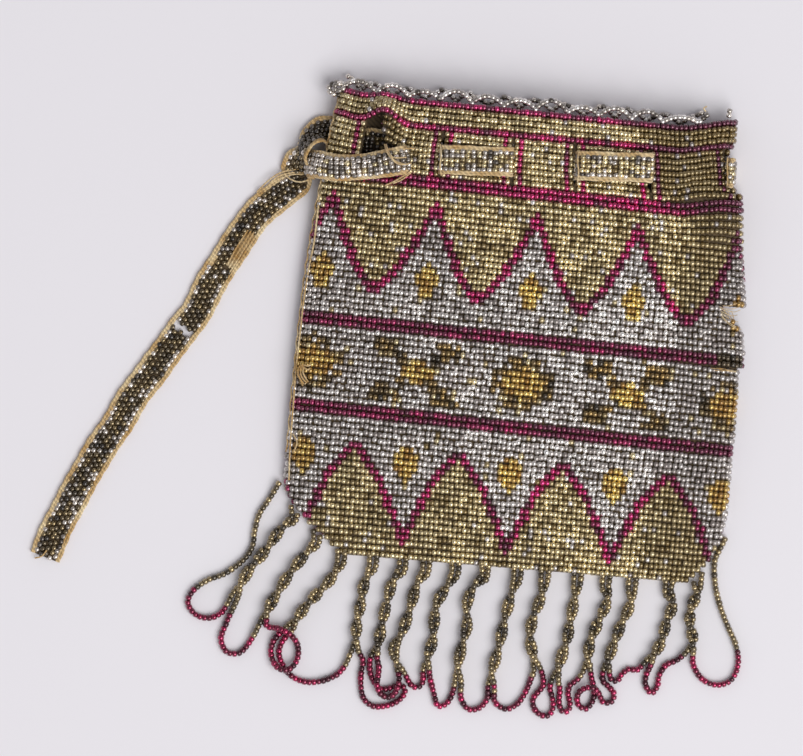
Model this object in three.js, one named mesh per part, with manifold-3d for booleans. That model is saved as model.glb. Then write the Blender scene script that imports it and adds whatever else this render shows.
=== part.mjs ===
// A loom-woven beaded pouch with a laced strap and a fringe of twisted bead loops, lying flat.
// Millimetres. X runs along the bead rows, Y towards the mouth, and Z up from the surface it lies on.
import * as THREE from 'three';
import { mergeVertices } from 'three/addons/utils/BufferGeometryUtils.js';
import Module from 'manifold-3d';

// Woven body: one bead per column along a row, one ridge per row
const rowPitch = 1.869;
const rowCount = 75;
const columnPitch = 1.456;
const columnCount = 93;
const wall = 1.6;
const ridgeDepth = 0.4;
const mouthWidth = 118.8;
const flareRows = 52;
const flareEase = 2.4;
const leftCornerCut = 20;
const rightCornerCut = 9.5;
const cornerRows = 11;
const cornerEase = 1.7;

// Lie of the body: a slack pillow that is flat below and lifted by its lacing near the mouth
const bottomEdgeHeight = 4.4;
const bellyHeight = 10;
const bellyRows = 40;
const bellyEase = 2.2;
const bandRise = 3.5;
const bandLift = 1.75;
const bandStartRow = 24;
const bandFullRow = 15;
const lipRows = 4;
const lipDroop = 0.8;
const foldShare = 0.3;
const frontRoundness = 3;
const backRoundness = 6;
const backPress = 0.15;
const sectionDegrees = [0, 14, 34, 64, 116, 146, 166, 180, 196, 240, 300, 344];
const rightFoldDegrees = [14, 0, 344];
const leftSeamDegrees = [166, 180];
const bottomSeamRows = 1.5;
const cavityRowStep = 4;

// Slits for the strap, placed by column from the middle, on the front and again on the back
const slitColumns = [-31.5, -20.5, -3.5, 8.5, 25, 39.5];
const slitTopRow = 5;
const slitBottomRow = 13;
const slitWidth = 3;
const tornSlitWidth = 10;
const tornBow = 0.6;
const tornSegments = 5;

// Tear in the folded right side
const tearRow = 30;
const tearHeight = 7.4;
const tearDepth = 6.6;

// Strap, a narrow woven band
const strapWidth = 9.8;
const strapThickness = 1.2;
const strapRow = 9.23;
const strapDrift = 0.04;
const strapDive = 2;
const strapWindowLength = 3;
const strapWindowFromEnd = 82;
const strapSelvedge = 0.9;
const floorGap = 0.15;

// Bead strings of the mouth edging, the seam and the fringe
const picotScallops = 12;
const picotRise = 3.2;
const picotRadius = 0.75;
const picotStepsPerScallop = 4;
const seamRadius = 0.35;
const seamStitchRows = 2.5;
const seamFirstRow = 1;
const seamEndRows = 2;
const threadSides = 6;
const fringeRadius = 0.8;
const fringeTwistRadius = 1.3;
const fringeTwistTurns = 2;
const fringeRootSpread = 1.8;
const fringeRootDrop = 3.5;
const twistPointsPerTurn = 8;
const fringeStep = 3.9;
const fringeSides = 8;
const fringeLeftRootRow = 64.2;
const fringeRightRootRow = 66.9;
const gap = 0.3;
const cutReach = 2;
const mergeDistance = 1e-4;

// The photograph's scale and turn: the pixel that shows the origin, and the tilt of the bead rows in it
const photoOrigin = new THREE.Vector2(520, 330);
const photoScale = 0.305;
const photoTilt = THREE.MathUtils.degToRad(5);

// Strap where it hangs free at the left edge, [x, y, z]: its tucked end, then the hump behind the knot
const strapEnd = [
  [-66.0, 43.6, 2.9], [-67.9, 43.7, 3.3], [-68.7, 43.9, 5.0], [-67.4, 44.2, 7.4],
  [-64.4, 44.8, 9.7], [-60.6, 45.5, 11.2],
];
const strapHump = [
  [-52.0, 53.0, 0.85], [-56.5, 54.2, 0.85], [-61.0, 55.0, 1.1], [-65.0, 55.4, 2.4], [-68.4, 54.9, 3.7],
  [-71.0, 53.0, 3.7], [-72.3, 50.0, 2.5], [-72.6, 46.8, 1.3], [-72.4, 43.6, 0.8],
];

// Centre line of the strap's tail, in photograph pixels
const strapTail = [
  [297, 180], [280, 195], [259, 212], [242, 235], [227, 258], [210, 285], [196, 313], [184, 328], [168, 350],
  [152, 372], [133, 397], [118, 423], [101, 448], [84, 477], [69, 505], [55, 532], [45, 557],
];

// Fringe: the root of each twisted pair by its x, its centre line below the edge in photograph pixels,
// and the two single legs at the ends
const fringePairs = [
  { rootX: -63.8, line: [[281, 529], [271, 543], [261, 556], [250, 569], [242, 582], [235, 596]] },
  { rootX: -56.4, line: [[303, 557], [290, 573], [281, 587], [273, 600], [266, 614], [263, 624]] },
  { rootX: -48.4, line: [[330, 580], [317, 594], [306, 606], [298, 617], [290, 628]] },
  { rootX: -38.6, line: [[364, 584], [361, 603], [357, 622], [356, 637], [355, 650]] },
  { rootX: -29.6, line: [[393, 581], [388, 598], [384, 614], [381, 630], [378, 644], [374, 657]] },
  { rootX: -22.4, line: [[417, 584], [412, 602], [407, 619], [401, 635], [394, 648], [397, 663], [402, 675]] },
  { rootX: -13.4, line: [[446, 588], [437, 603], [434, 622], [433, 639], [428, 656], [426, 672]] },
  { rootX: -4.4, line: [[474, 586], [467, 604], [467, 626], [462, 646], [458, 664], [458, 682]] },
  { rootX: 5.6, line: [[511, 595], [504, 622], [498, 650], [492, 672], [491, 688]] },
  { rootX: 14.0, line: [[541, 597], [533, 618], [530, 637], [533, 655], [537, 669]] },
  { rootX: 24.0, line: [[575, 596], [570, 622], [566, 643], [560, 662], [555, 680]] },
  { rootX: 32.8, line: [[608, 598], [598, 622], [590, 642], [588, 656], [587, 670]] },
  { rootX: 40.8, line: [[631, 602], [620, 627], [613, 646], [608, 660], [606, 672]] },
  { rootX: 52.0, line: [[673, 602], [666, 622], [661, 642], [648, 663]] },
  { rootX: 60.6, line: [[697, 594], [691, 608], [690, 625], [693, 640], [690, 652]] },
];
const fringeLeftLeg = [
  [270, 498], [259, 515], [254.5, 532], [252.5, 546], [246, 557], [236, 566], [224, 574], [208, 580],
];
const fringeRightLeg = [[736, 646], [728, 627], [720, 606], [715, 583], [715, 560], [720, 549]];

// The open arc at the foot of each fringe loop, in photograph pixels, with a lift where it crosses a strand
const fringeArcs = [
  [[192, 592], [188, 603], [195, 614], [208, 618], [221, 613]],
  [[226, 624], [221, 639], [227, 652], [239, 653], [249, 643]],
  [[269, 627, 0.6], [277, 628, 2.2], [285, 631, 3.3], [293, 637, 2.6], [298, 647, 0.8], [297, 660, 0.6],
    [289, 669, 1.9], [280, 669, 1.9], [273, 661, 0.8], [271, 650], [274, 640, 0.4]],
  [[282, 642], [279, 654], [284, 667], [293, 677], [307, 682], [325, 680], [341, 671]],
  [[363, 661], [361, 673], [361, 687], [364, 699], [373, 706], [385, 706], [396, 702], [403, 696], [405, 689],
    [399, 685], [390, 688], [381, 689], [374, 682], [370, 671]],
  [[379, 667, 0.6], [378, 676, 1.3], [377, 685, 2.0], [381, 694, 1.2], [388, 697, 0.4], [394, 694, 1.2],
    [398, 686, 2.0]],
  [[409, 682], [414, 687], [420, 686], [423, 680]],
  [[431, 682], [434, 694], [438, 706], [446, 704], [452, 694]],
  [[461, 698], [468, 709], [479, 708], [487, 699]],
  [[495, 702], [506, 709], [517, 704], [525, 693], [530, 681]],
  [[543, 678], [543, 686], [538, 692], [533, 699], [534, 708], [541, 715], [549, 715], [553, 707], [552, 697],
    [550, 689]],
  [[560, 690], [559, 701], [562, 711], [568, 711], [570, 703], [568, 694], [570, 685], [577, 680]],
  [[592, 680], [594, 690], [592, 702], [585, 709], [578, 704], [578, 694, 0.6], [585, 688, 1.8], [593, 688, 2.1],
    [599, 694, 0.6], [603, 702], [611, 702], [614, 694], [609, 687], [603, 681]],
  [[611, 679], [617, 681], [622, 674], [629, 669], [637, 670]],
  [[647, 673], [645, 683], [651, 693], [657, 687], [659, 676], [666, 665], [677, 660]],
  [[693, 664], [702, 679], [717, 685], [731, 680], [738, 664]],
];

// Places worked out from the driving dimensions
const wovenHeight = rowCount * rowPitch;
const picotReach = gap + 2 * picotRadius + picotRise;
const mouthY = (wovenHeight - picotReach) / 2;
const bodyHalf = (columnCount * columnPitch) / 2;
const rowY = (row) => mouthY - row * rowPitch;
const yRow = (y) => (mouthY - y) / rowPitch;
const slitX = (slit) => slitColumns[slit] * columnPitch;

// A point of the photograph at a height above the surface, with any lift that the point itself gives
function fromPhoto([u, v, lift = 0], height) {
  const right = u - photoOrigin.x;
  const up = photoOrigin.y - v;
  const x = (right * Math.cos(photoTilt) - up * Math.sin(photoTilt)) * photoScale;
  const y = (right * Math.sin(photoTilt) + up * Math.cos(photoTilt)) * photoScale;
  return new THREE.Vector3(x, y, height + lift);
}

// Half widths of the body at a row: flared below the mouth, cut in at the bottom corners
function halfWidths(row) {
  const flare = 1 - (1 - THREE.MathUtils.clamp(row / flareRows, 0, 1)) ** flareEase;
  const half = mouthWidth / 2 + (bodyHalf - mouthWidth / 2) * flare;
  const cut = THREE.MathUtils.clamp((row - rowCount + cornerRows) / cornerRows, 0, 1) ** cornerEase;
  return { left: half - leftCornerCut * cut, right: half - rightCornerCut * cut };
}

// Heights of the back wall, the front wall and the side folds between them at a row
function heights(row) {
  const belly = 1 - (1 - THREE.MathUtils.clamp((rowCount - row) / bellyRows, 0, 1)) ** bellyEase;
  const band = 1 - THREE.MathUtils.smoothstep(row, bandFullRow, bandStartRow);
  const lip = 1 - THREE.MathUtils.smoothstep(row, 0, lipRows);
  const back = bandLift * band - lipDroop * lip - backPress;
  const middle = bottomEdgeHeight + (bellyHeight - bottomEdgeHeight) * belly;
  const front = middle + bandRise * band - lipDroop * lip;
  return { back, front, fold: back + foldShare * (front - back) };
}

// Outline of the body at a row, moved inwards by inset: a flat back and a rounded front
function sectionPoint(row, angle, inset) {
  const { left, right } = halfWidths(row);
  const { back, front, fold } = heights(row);
  const along = Math.cos(angle);
  const up = Math.sin(angle);
  const power = 2 / (up < 0 ? backRoundness : frontRoundness);
  const reach = along < 0 ? -(left - inset) : right - inset;
  const rise = up < 0 ? -(fold - back - inset) : front - fold - inset;
  return new THREE.Vector3(
    reach * Math.abs(along) ** power, rowY(row), fold + rise * Math.abs(up) ** power,
  );
}

// The outline as built: straight between a few points, which stand closer at the side folds
function sectionRing(row, inset) {
  return sectionDegrees.map((degrees) => sectionPoint(row, THREE.MathUtils.degToRad(degrees), inset));
}

// Height of the front or back wall above a place on the rows, at a depth below its outside
function wallHeight(side, x, y, inset = 0) {
  const ring = sectionRing(yRow(y), inset);
  const half = sectionDegrees.indexOf(180);
  const line = side === 'front' ? ring.slice(0, half + 1).toReversed() : [...ring.slice(half), ring[0]];
  const last = line.length - 2;
  const place = Math.min(line.findLastIndex((point) => point.x <= x), last);
  const [before, after] = [line[Math.max(place, 0)], line[Math.max(place, 0) + 1]];
  const share = THREE.MathUtils.clamp((x - before.x) / (after.x - before.x), 0, 1);
  return THREE.MathUtils.lerp(before.z, after.z, share);
}

// A point of the outline moved outwards so that both edges that meet there are cleared
function outsidePoint(row, degrees, clear) {
  const ring = sectionRing(row, 0);
  const count = ring.length;
  const place = sectionDegrees.indexOf(degrees);
  const normal = (from, to) => new THREE.Vector3(to.z - from.z, 0, from.x - to.x).normalize();
  const before = normal(ring[(place + count - 1) % count], ring[place]);
  const after = normal(ring[place], ring[(place + 1) % count]);
  const outwards = before.clone().add(after).normalize();
  return ring[place].clone().addScaledVector(outwards, clear / outwards.dot(before));
}

// A closed loft through rings of points, its ends closed by fans
function loft(rings) {
  const sides = rings[0].length;
  const centre = (ring) => ring.reduce((sum, p) => sum.add(p), new THREE.Vector3()).divideScalar(sides);
  const points = [...rings.flat(), centre(rings[0]), centre(rings.at(-1))];
  const index = [];
  const last = (rings.length - 1) * sides;
  for (let side = 0; side < sides; side += 1) {
    const next = (side + 1) % sides;
    for (let ring = 0; ring < last; ring += sides) {
      index.push(ring + side, ring + next, ring + sides + next);
      index.push(ring + side, ring + sides + next, ring + sides + side);
    }
    index.push(points.length - 2, next, side, points.length - 1, last + side, last + next);
  }
  return new THREE.BufferGeometry().setFromPoints(points).setIndex(index);
}

// A round bead string along a smooth curve
function beadString(points, radius, sides, steps) {
  const outline = [];
  for (let side = 0; side < sides; side += 1) {
    const angle = (2 * Math.PI * side) / sides;
    outline.push(new THREE.Vector2(radius * Math.cos(angle), radius * Math.sin(angle)));
  }
  const extrudePath = new THREE.CatmullRomCurve3(points);
  const count = steps ?? Math.round(extrudePath.getLength() / fringeStep);
  return new THREE.ExtrudeGeometry(new THREE.Shape(outline), { extrudePath, steps: count });
}

// Cutting and joining of closed meshes
const wasm = await Module();
wasm.setup();

function solidOf(geometry) {
  const bare = geometry.clone();
  bare.deleteAttribute('normal');
  bare.deleteAttribute('uv');
  const merged = mergeVertices(bare, mergeDistance);
  return new wasm.Manifold(new wasm.Mesh({
    numProp: 3,
    vertProperties: new Float32Array(merged.attributes.position.array),
    triVerts: new Uint32Array(merged.index.array),
  }));
}

function geometryOf(solid) {
  const { vertProperties, triVerts } = solid.getMesh();
  const geometry = new THREE.BufferGeometry();
  geometry.setAttribute('position', new THREE.BufferAttribute(vertProperties, 3));
  geometry.setIndex(new THREE.BufferAttribute(triVerts, 1));
  return geometry;
}

// Rings of the body's outside, a crest at the middle of each row and a groove between rows
function outsideRings() {
  const rings = [];
  for (let level = 0; level <= 2 * rowCount; level += 1) {
    const inset = (level % 2 === 1 ? -ridgeDepth : ridgeDepth) / 2;
    rings.push(sectionRing(level / 2, inset));
  }
  return rings;
}

// Rings of the hollow, open past the mouth and closed above the bottom seam
function hollowRings() {
  const rings = [];
  const past = new THREE.Vector3(0, cavityRowStep * rowPitch, 0);
  rings.push(sectionRing(0, wall).map((point) => point.add(past)));
  for (let row = 0; row < rowCount - bottomSeamRows; row += cavityRowStep) {
    rings.push(sectionRing(row, wall));
  }
  rings.push(sectionRing(rowCount - bottomSeamRows, wall));
  return rings;
}

// A slit through the front or the back wall
function slitCutter(slit, side) {
  const top = rowY(slitTopRow);
  const bottom = rowY(slitBottomRow);
  const deep = bellyHeight + bandRise;
  const { fold } = heights(strapRow);
  const cutter = slit === 0 && side === 'front'
    ? tornOutline(top - bottom, deep)
    : new THREE.BoxGeometry(slitWidth, top - bottom, deep);
  const z = side === 'front' ? fold + deep / 2 : fold - deep / 2;
  cutter.translate(slitX(slit), (top + bottom) / 2, z);
  return solidOf(cutter);
}

// The slit that the strap has pulled open, straight at its left and bowed at its right lip
function tornOutline(length, deep) {
  const [half, rise] = [tornSlitWidth / 2, length / 2];
  const hole = new THREE.Shape();
  hole.moveTo(-half, -rise);
  hole.lineTo(half, -rise);
  hole.quadraticCurveTo(tornSlitWidth * tornBow, rise / 2, half / 2, rise);
  hole.lineTo(-half, rise);
  const depth = { depth: deep, bevelEnabled: false, curveSegments: tornSegments };
  return new THREE.ExtrudeGeometry(hole, depth).translate(0, 0, -deep / 2);
}

// The tear at the right fold, a notch through both walls
function tearCutter() {
  const { right } = halfWidths(tearRow);
  const notch = new THREE.Shape();
  notch.moveTo(right - tearDepth, 0);
  notch.lineTo(right + ridgeDepth, -tearHeight / 2);
  notch.lineTo(right + ridgeDepth, tearHeight / 2);
  const deep = cutReach * (bellyHeight + bandRise);
  const geometry = new THREE.ExtrudeGeometry(notch, { depth: deep, bevelEnabled: false });
  return solidOf(geometry.translate(0, rowY(tearRow), -deep / 2));
}

// The surface below, which presses the crests of the back wall flat
function surfaceCutter() {
  const deep = cutReach * ridgeDepth;
  const surface = new THREE.BoxGeometry(cutReach * 2 * bodyHalf, cutReach * wovenHeight, deep);
  return solidOf(surface.translate(0, 0, -deep / 2));
}

function wovenBody() {
  let body = solidOf(loft(outsideRings())).subtract(solidOf(loft(hollowRings())));
  slitColumns.forEach((column, slit) => {
    body = body.subtract(slitCutter(slit, 'front')).subtract(slitCutter(slit, 'back'));
  });
  return geometryOf(body.subtract(tearCutter()).subtract(surfaceCutter()));
}

// Middle of the strap along the rows: it slants across the front and runs level across the back
function strapY(side, x) {
  const along = side === 'front' ? x : halfWidths(strapRow).right;
  return rowY(strapRow) + strapDrift * along;
}

// Level of the strap's middle where it runs over or under a wall, clear of the whole width it covers
function strapLevel(side, outside, x) {
  const ys = [-0.5, 0, 0.5].map((share) => strapY(side, x) + share * strapWidth);
  const levels = ys.map((y) => wallHeight(side, x, y, outside ? 0 : wall));
  const clear = gap + (strapThickness + ridgeDepth) / 2;
  const above = (side === 'front') === outside;
  const level = above ? Math.max(...levels) + clear : Math.min(...levels) - clear;
  return Math.max(level, floorGap + strapThickness / 2);
}

function strapPoint(side, outside, x) {
  return new THREE.Vector3(x, strapY(side, x), strapLevel(side, outside, x));
}

// Where the strap crosses a wall: at the right lip of the torn slit, and at the middle of the others
function crossingX(slit, side) {
  const torn = slit === 0 && side === 'front';
  return slitX(slit) + (torn ? (tornSlitWidth - slitWidth) / 2 : 0);
}

// One run of lacing from slit to slit, as points in the order of travel
function lacing(side, slits, startsOutside) {
  const points = [];
  let outside = startsOutside;
  const heading = side === 'front' ? 1 : -1;
  slits.forEach((slit, place) => {
    const x = crossingX(slit, side);
    const before = x - (heading * strapDive) / 2;
    const after = x + (heading * strapDive) / 2;
    points.push(strapPoint(side, outside, before));
    outside = !outside;
    points.push(strapPoint(side, outside, after));
    if (place + 1 < slits.length) {
      points.push(strapPoint(side, outside, (after + crossingX(slits[place + 1], side)) / 2));
    }
  });
  return points;
}

// The strap's turn round the folded right side, outside the body where it is widest under the strap
function turnRoundFold() {
  const clear = gap + (strapThickness + ridgeDepth) / 2;
  const widestRow = strapRow + strapWidth / 2 / rowPitch;
  return rightFoldDegrees.map((degrees) => {
    const { x, z } = outsidePoint(widestRow, degrees, clear);
    return new THREE.Vector3(x, strapY('back', x), z);
  });
}

// The strap's whole route, with the direction of its width at each point
function strapRoute() {
  const vector = ([x, y, z]) => new THREE.Vector3(x, y, z);
  const slits = slitColumns.map((column, slit) => slit);
  const shoulderX = (slitX(0) - halfWidths(strapRow).left) / 2;
  const laced = [
    ...strapEnd.map(vector), strapPoint('front', true, shoulderX), ...lacing('front', slits, true),
    ...turnRoundFold(), ...lacing('back', slits.toReversed(), true),
  ];
  const tailHeight = floorGap + strapThickness / 2;
  const free = [...strapHump.map(vector), ...strapTail.map((pixel) => fromPhoto(pixel, tailHeight))];
  const points = [...laced, ...free];
  const up = new THREE.Vector3(0, 0, 1);
  return points.map((point, place) => {
    const ahead = points[Math.min(place + 1, points.length - 1)];
    const along = ahead.clone().sub(points[Math.max(place - 1, 0)]).normalize();
    const across = place < laced.length ? new THREE.Vector3(0, 1, 0) : along.clone().cross(up);
    across.addScaledVector(along, -across.dot(along)).normalize();
    return { point, across, face: across.clone().cross(along) };
  });
}

function strap() {
  const rings = strapRoute().map(({ point, across, face }) => {
    const corners = [[1, 1], [1, -1], [-1, -1], [-1, 1]];
    return corners.map(([wide, thick]) => point.clone()
      .addScaledVector(across, (wide * strapWidth) / 2)
      .addScaledVector(face, (thick * strapThickness) / 2));
  });
  const windowDeep = 2 * cutReach * strapThickness;
  const window = new THREE.BoxGeometry(strapWindowLength, strapWidth - 2 * strapSelvedge, windowDeep);
  const tail = new THREE.CatmullRomCurve3(strapTail.map((pixel) => fromPhoto(pixel, strapThickness)));
  const place = 1 - strapWindowFromEnd / tail.getLength();
  const at = tail.getPointAt(place);
  const along = tail.getTangentAt(place);
  window.rotateZ(Math.atan2(along.y, along.x)).translate(at.x, at.y, at.z);
  return geometryOf(solidOf(loft(rings)).subtract(solidOf(window)));
}

// Scalloped string along the front or back lip of the mouth
function picotEdging(side) {
  const points = [];
  const { left, right } = halfWidths(0);
  const count = picotScallops * picotStepsPerScallop;
  for (let step = 0; step <= count; step += 1) {
    const x = THREE.MathUtils.lerp(picotRadius - left, right - picotRadius, step / count);
    const swing = Math.abs(Math.sin((Math.PI * step) / picotStepsPerScallop));
    const inwards = side === 'front' ? -wall / 2 : wall / 2;
    const z = wallHeight(side, x, mouthY) + inwards;
    points.push(new THREE.Vector3(x, mouthY + gap + picotRadius + picotRise * swing, z));
  }
  return beadString(points, picotRadius, threadSides, count);
}

// Whip stitches up the sewn left side, over the edge and back
function seamThread() {
  const clear = gap + seamRadius + ridgeDepth / 2;
  const lastRow = rowCount - cornerRows - seamEndRows;
  const rowStep = seamStitchRows / leftSeamDegrees.length;
  const points = [];
  for (let step = 0; seamFirstRow + step * rowStep <= lastRow; step += 1) {
    const degrees = leftSeamDegrees[step % leftSeamDegrees.length];
    points.push(outsidePoint(seamFirstRow + step * rowStep, degrees, clear));
  }
  return beadString(points, seamRadius, threadSides, points.length - 1);
}

// The bottom edge of the body at a place along it, across the cut corners too
function bottomEdgeY(x) {
  const cut = x < 0 ? leftCornerCut : rightCornerCut;
  const inside = THREE.MathUtils.clamp((bodyHalf - Math.abs(x)) / cut, 0, 1);
  return rowY(rowCount - cornerRows + cornerRows * inside ** (1 / cornerEase));
}

// Where a strand is sewn on below the bottom edge, its end face clear of the edge's slope
function strandRoot(x, height) {
  const slope = Math.abs(bottomEdgeY(x + gap) - bottomEdgeY(x - gap)) / (2 * gap);
  const drop = gap * Math.hypot(1, slope) + fringeRadius * slope;
  return new THREE.Vector3(x, bottomEdgeY(x) - drop, height);
}

// Where a single leg is sewn to the side of the body
function legRoot(row, degrees) {
  return outsidePoint(row, degrees, gap + fringeRadius + ridgeDepth / 2);
}

// The two strands of a twisted pair, from their roots on the bottom edge to where they part
function twistedPair({ rootX, line }) {
  const height = fringeTwistRadius + fringeRadius + floorGap;
  const top = new THREE.Vector3(rootX, bottomEdgeY(rootX) - fringeRootDrop, height);
  const axis = new THREE.CatmullRomCurve3([top, ...line.map((pixel) => fromPhoto(pixel, height))]);
  const count = fringeTwistTurns * twistPointsPerTurn;
  const strands = [-1, 1].map((sign) => [strandRoot(rootX + sign * fringeRootSpread, height)]);
  for (let step = 0; step <= count; step += 1) {
    const at = axis.getPointAt(step / count);
    const along = axis.getTangentAt(step / count);
    const left = new THREE.Vector3(along.y, -along.x, 0).normalize();
    const turn = (2 * Math.PI * step) / twistPointsPerTurn;
    strands.forEach((strand, place) => {
      const reach = place === 0 ? fringeTwistRadius : -fringeTwistRadius;
      const point = at.clone().addScaledVector(left, reach * Math.cos(turn));
      strand.push(point.setZ(height + reach * Math.sin(turn)));
    });
  }
  return strands;
}

// Every fringe loop: down one strand, round its open arc and up a strand of the next pair
function fringeLoops() {
  const low = fringeRadius + floorGap;
  const flat = (pixels) => pixels.map((pixel) => fromPhoto(pixel, low));
  const pairs = fringePairs.map(twistedPair);
  const leftLeg = [legRoot(fringeLeftRootRow, 180), ...flat(fringeLeftLeg)];
  const rightLeg = [...flat(fringeRightLeg), legRoot(fringeRightRootRow, 0)];
  return fringeArcs.map((arc, loop) => {
    const down = loop === 0 ? leftLeg : pairs[loop - 1][1];
    const up = loop === pairs.length ? rightLeg : pairs[loop][0].toReversed();
    return beadString([...down, ...flat(arc), ...up], fringeRadius, fringeSides);
  });
}

// Finishes
const steelBeads = new THREE.MeshStandardMaterial({ color: 0x9c968c, roughness: 0.35, metalness: 0.7 });
const silverBeads = new THREE.MeshStandardMaterial({ color: 0xb4b6b8, roughness: 0.3, metalness: 0.8 });
const bronzeBeads = new THREE.MeshStandardMaterial({ color: 0x766b49, roughness: 0.35, metalness: 0.7 });
const cottonThread = new THREE.MeshStandardMaterial({ color: 0xdcc590, roughness: 0.9, metalness: 0 });

function part(name, geometry, material) {
  const mesh = new THREE.Mesh(geometry, material);
  mesh.name = name;
  return mesh;
}

const pouch = new THREE.Group();
pouch.add(
  part('woven_body', wovenBody(), steelBeads),
  part('front_picot_edging', picotEdging('front'), silverBeads),
  part('back_picot_edging', picotEdging('back'), silverBeads),
  part('seam_thread', seamThread(), cottonThread),
  part('drawstring_strap', strap(), bronzeBeads),
);
fringeLoops().forEach((geometry, loop) => {
  const number = String(loop + 1).padStart(2, '0');
  pouch.add(part(`fringe_loop_${number}`, geometry, bronzeBeads));
});

export default pouch;
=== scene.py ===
"""Looks of a flat-lying loom-woven bead pouch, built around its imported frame.

The pouch is one band of metallised seed beads on cotton, folded at its right side and sewn at its left.
A beaded strap is laced through slits below the mouth, and a fringe of twisted bead loops hangs at the bottom.
Sizes here are millimetres in the pouch's own frame: X runs along the bead rows, Y towards the mouth and Z up
from the surface that it lies on. Finished meshes are in metres.
"""

from __future__ import annotations

import logging
import math
from collections.abc import Callable, Iterable, Sequence
from dataclasses import dataclass, field
from enum import Enum, IntEnum

import bmesh
import bpy
import numpy as np
from mathutils import Matrix, Vector


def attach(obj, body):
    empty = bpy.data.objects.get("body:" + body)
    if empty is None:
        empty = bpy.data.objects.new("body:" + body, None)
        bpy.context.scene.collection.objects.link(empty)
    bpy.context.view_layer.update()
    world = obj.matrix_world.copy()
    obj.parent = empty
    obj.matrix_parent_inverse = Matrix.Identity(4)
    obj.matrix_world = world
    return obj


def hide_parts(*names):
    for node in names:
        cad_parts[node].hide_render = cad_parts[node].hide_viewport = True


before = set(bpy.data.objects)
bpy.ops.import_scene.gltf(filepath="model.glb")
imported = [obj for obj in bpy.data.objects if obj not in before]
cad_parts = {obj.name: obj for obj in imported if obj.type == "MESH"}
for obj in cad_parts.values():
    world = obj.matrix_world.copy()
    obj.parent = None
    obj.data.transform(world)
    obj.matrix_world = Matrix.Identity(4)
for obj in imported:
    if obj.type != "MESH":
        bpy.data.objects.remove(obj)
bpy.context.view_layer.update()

LOG = logging.getLogger("beaded_pouch")
Array = np.ndarray
Value = np.ndarray | float
Chance = np.random.Generator
Material = bpy.types.Material
Mesh = bpy.types.Mesh
Piece = bpy.types.Object
Shape = bmesh.types.BMesh
Socket = bpy.types.NodeSocket
# A pixel may carry a lift in millimetres. A table holds places and the values there, for np.interp.
Pixel = tuple[float, ...]
Line = tuple[Pixel, ...]
Lines = tuple[Line, ...]
Place = tuple[float, float, float]
Table = tuple[tuple[float, ...], tuple[float, ...]]
Span = tuple[float, float]
Stretch = tuple[float, float, int, int]
METRE = 0.001
BODY = "root"
SEED = 27
KEY_DIGITS = 6
# Samples between two points of a smooth line, before it is resampled.
SPAN_SAMPLES = 24
# Spread of the beads' tilt on a string and of their turn about the hole, in radians, and then the mean and
# the spread of the film's brightness and of the beads' scale.
STRUNG_TILT = 0.12
BEAD_ROLL = 0.3
FILM_TONE = (0.5, 0.34)
BEAD_SIZE = (1.0, 0.035)
# Height of a resting bead's middle, in radii, with room for its tilt.
RESTING = 1.16


class Side(Enum):
    """The two walls of the flattened woven tube."""

    FRONT = "front"
    BACK = "back"


class Hue(IntEnum):
    """The five bead finishes of the woven pattern."""

    SILVER = 0
    KHAKI = 1
    MAGENTA = 2
    GILT = 3
    BROWN = 4


# Small helpers


def seeded(step: int) -> Chance:
    """Dataclass field for a random source of a sub-assembly's own."""
    return field(default_factory=lambda: np.random.default_rng(SEED + step))


def smoothstep(value: Value, low: float, high: float) -> Value:
    """Ease from 0 at low to 1 at high."""
    share = np.clip((value - low) / (high - low), 0.0, 1.0)
    return share * share * (3.0 - 2.0 * share)


def unit(vectors: Array) -> Array:
    """Scale each vector of the last axis to length one."""
    return vectors / np.maximum(np.linalg.norm(vectors, axis=-1, keepdims=True), 1e-9)


def linear(code: str) -> tuple[float, float, float, float]:
    """Turn an sRGB hex colour into linear RGBA.

    Args:
        code: Six hex digits after a hash sign.

    Returns:
        Linear red, green, blue and an alpha of one.
    """
    parts = [int(code[place:place + 2], 16) / 255.0 for place in (1, 3, 5)]
    red, green, blue = (part / 12.92 if part <= 0.04045 else ((part + 0.055) / 1.055) ** 2.4
                        for part in parts)
    return red, green, blue, 1.0


def clamp(value: float) -> float:
    """Limit a number to between 0 and 1."""
    return min(max(value, 0.0), 1.0)


def run_along(points: Array) -> Array:
    """Length along a line of points up to each of them."""
    return np.concatenate(([0.0], np.cumsum(np.linalg.norm(np.diff(points[:, :3], axis=0), axis=1))))


def resample(line: Array, run: Array, stations: Array) -> Array:
    """A line's values at stations along it."""
    return np.column_stack([np.interp(stations, run, values) for values in line.T])


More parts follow.
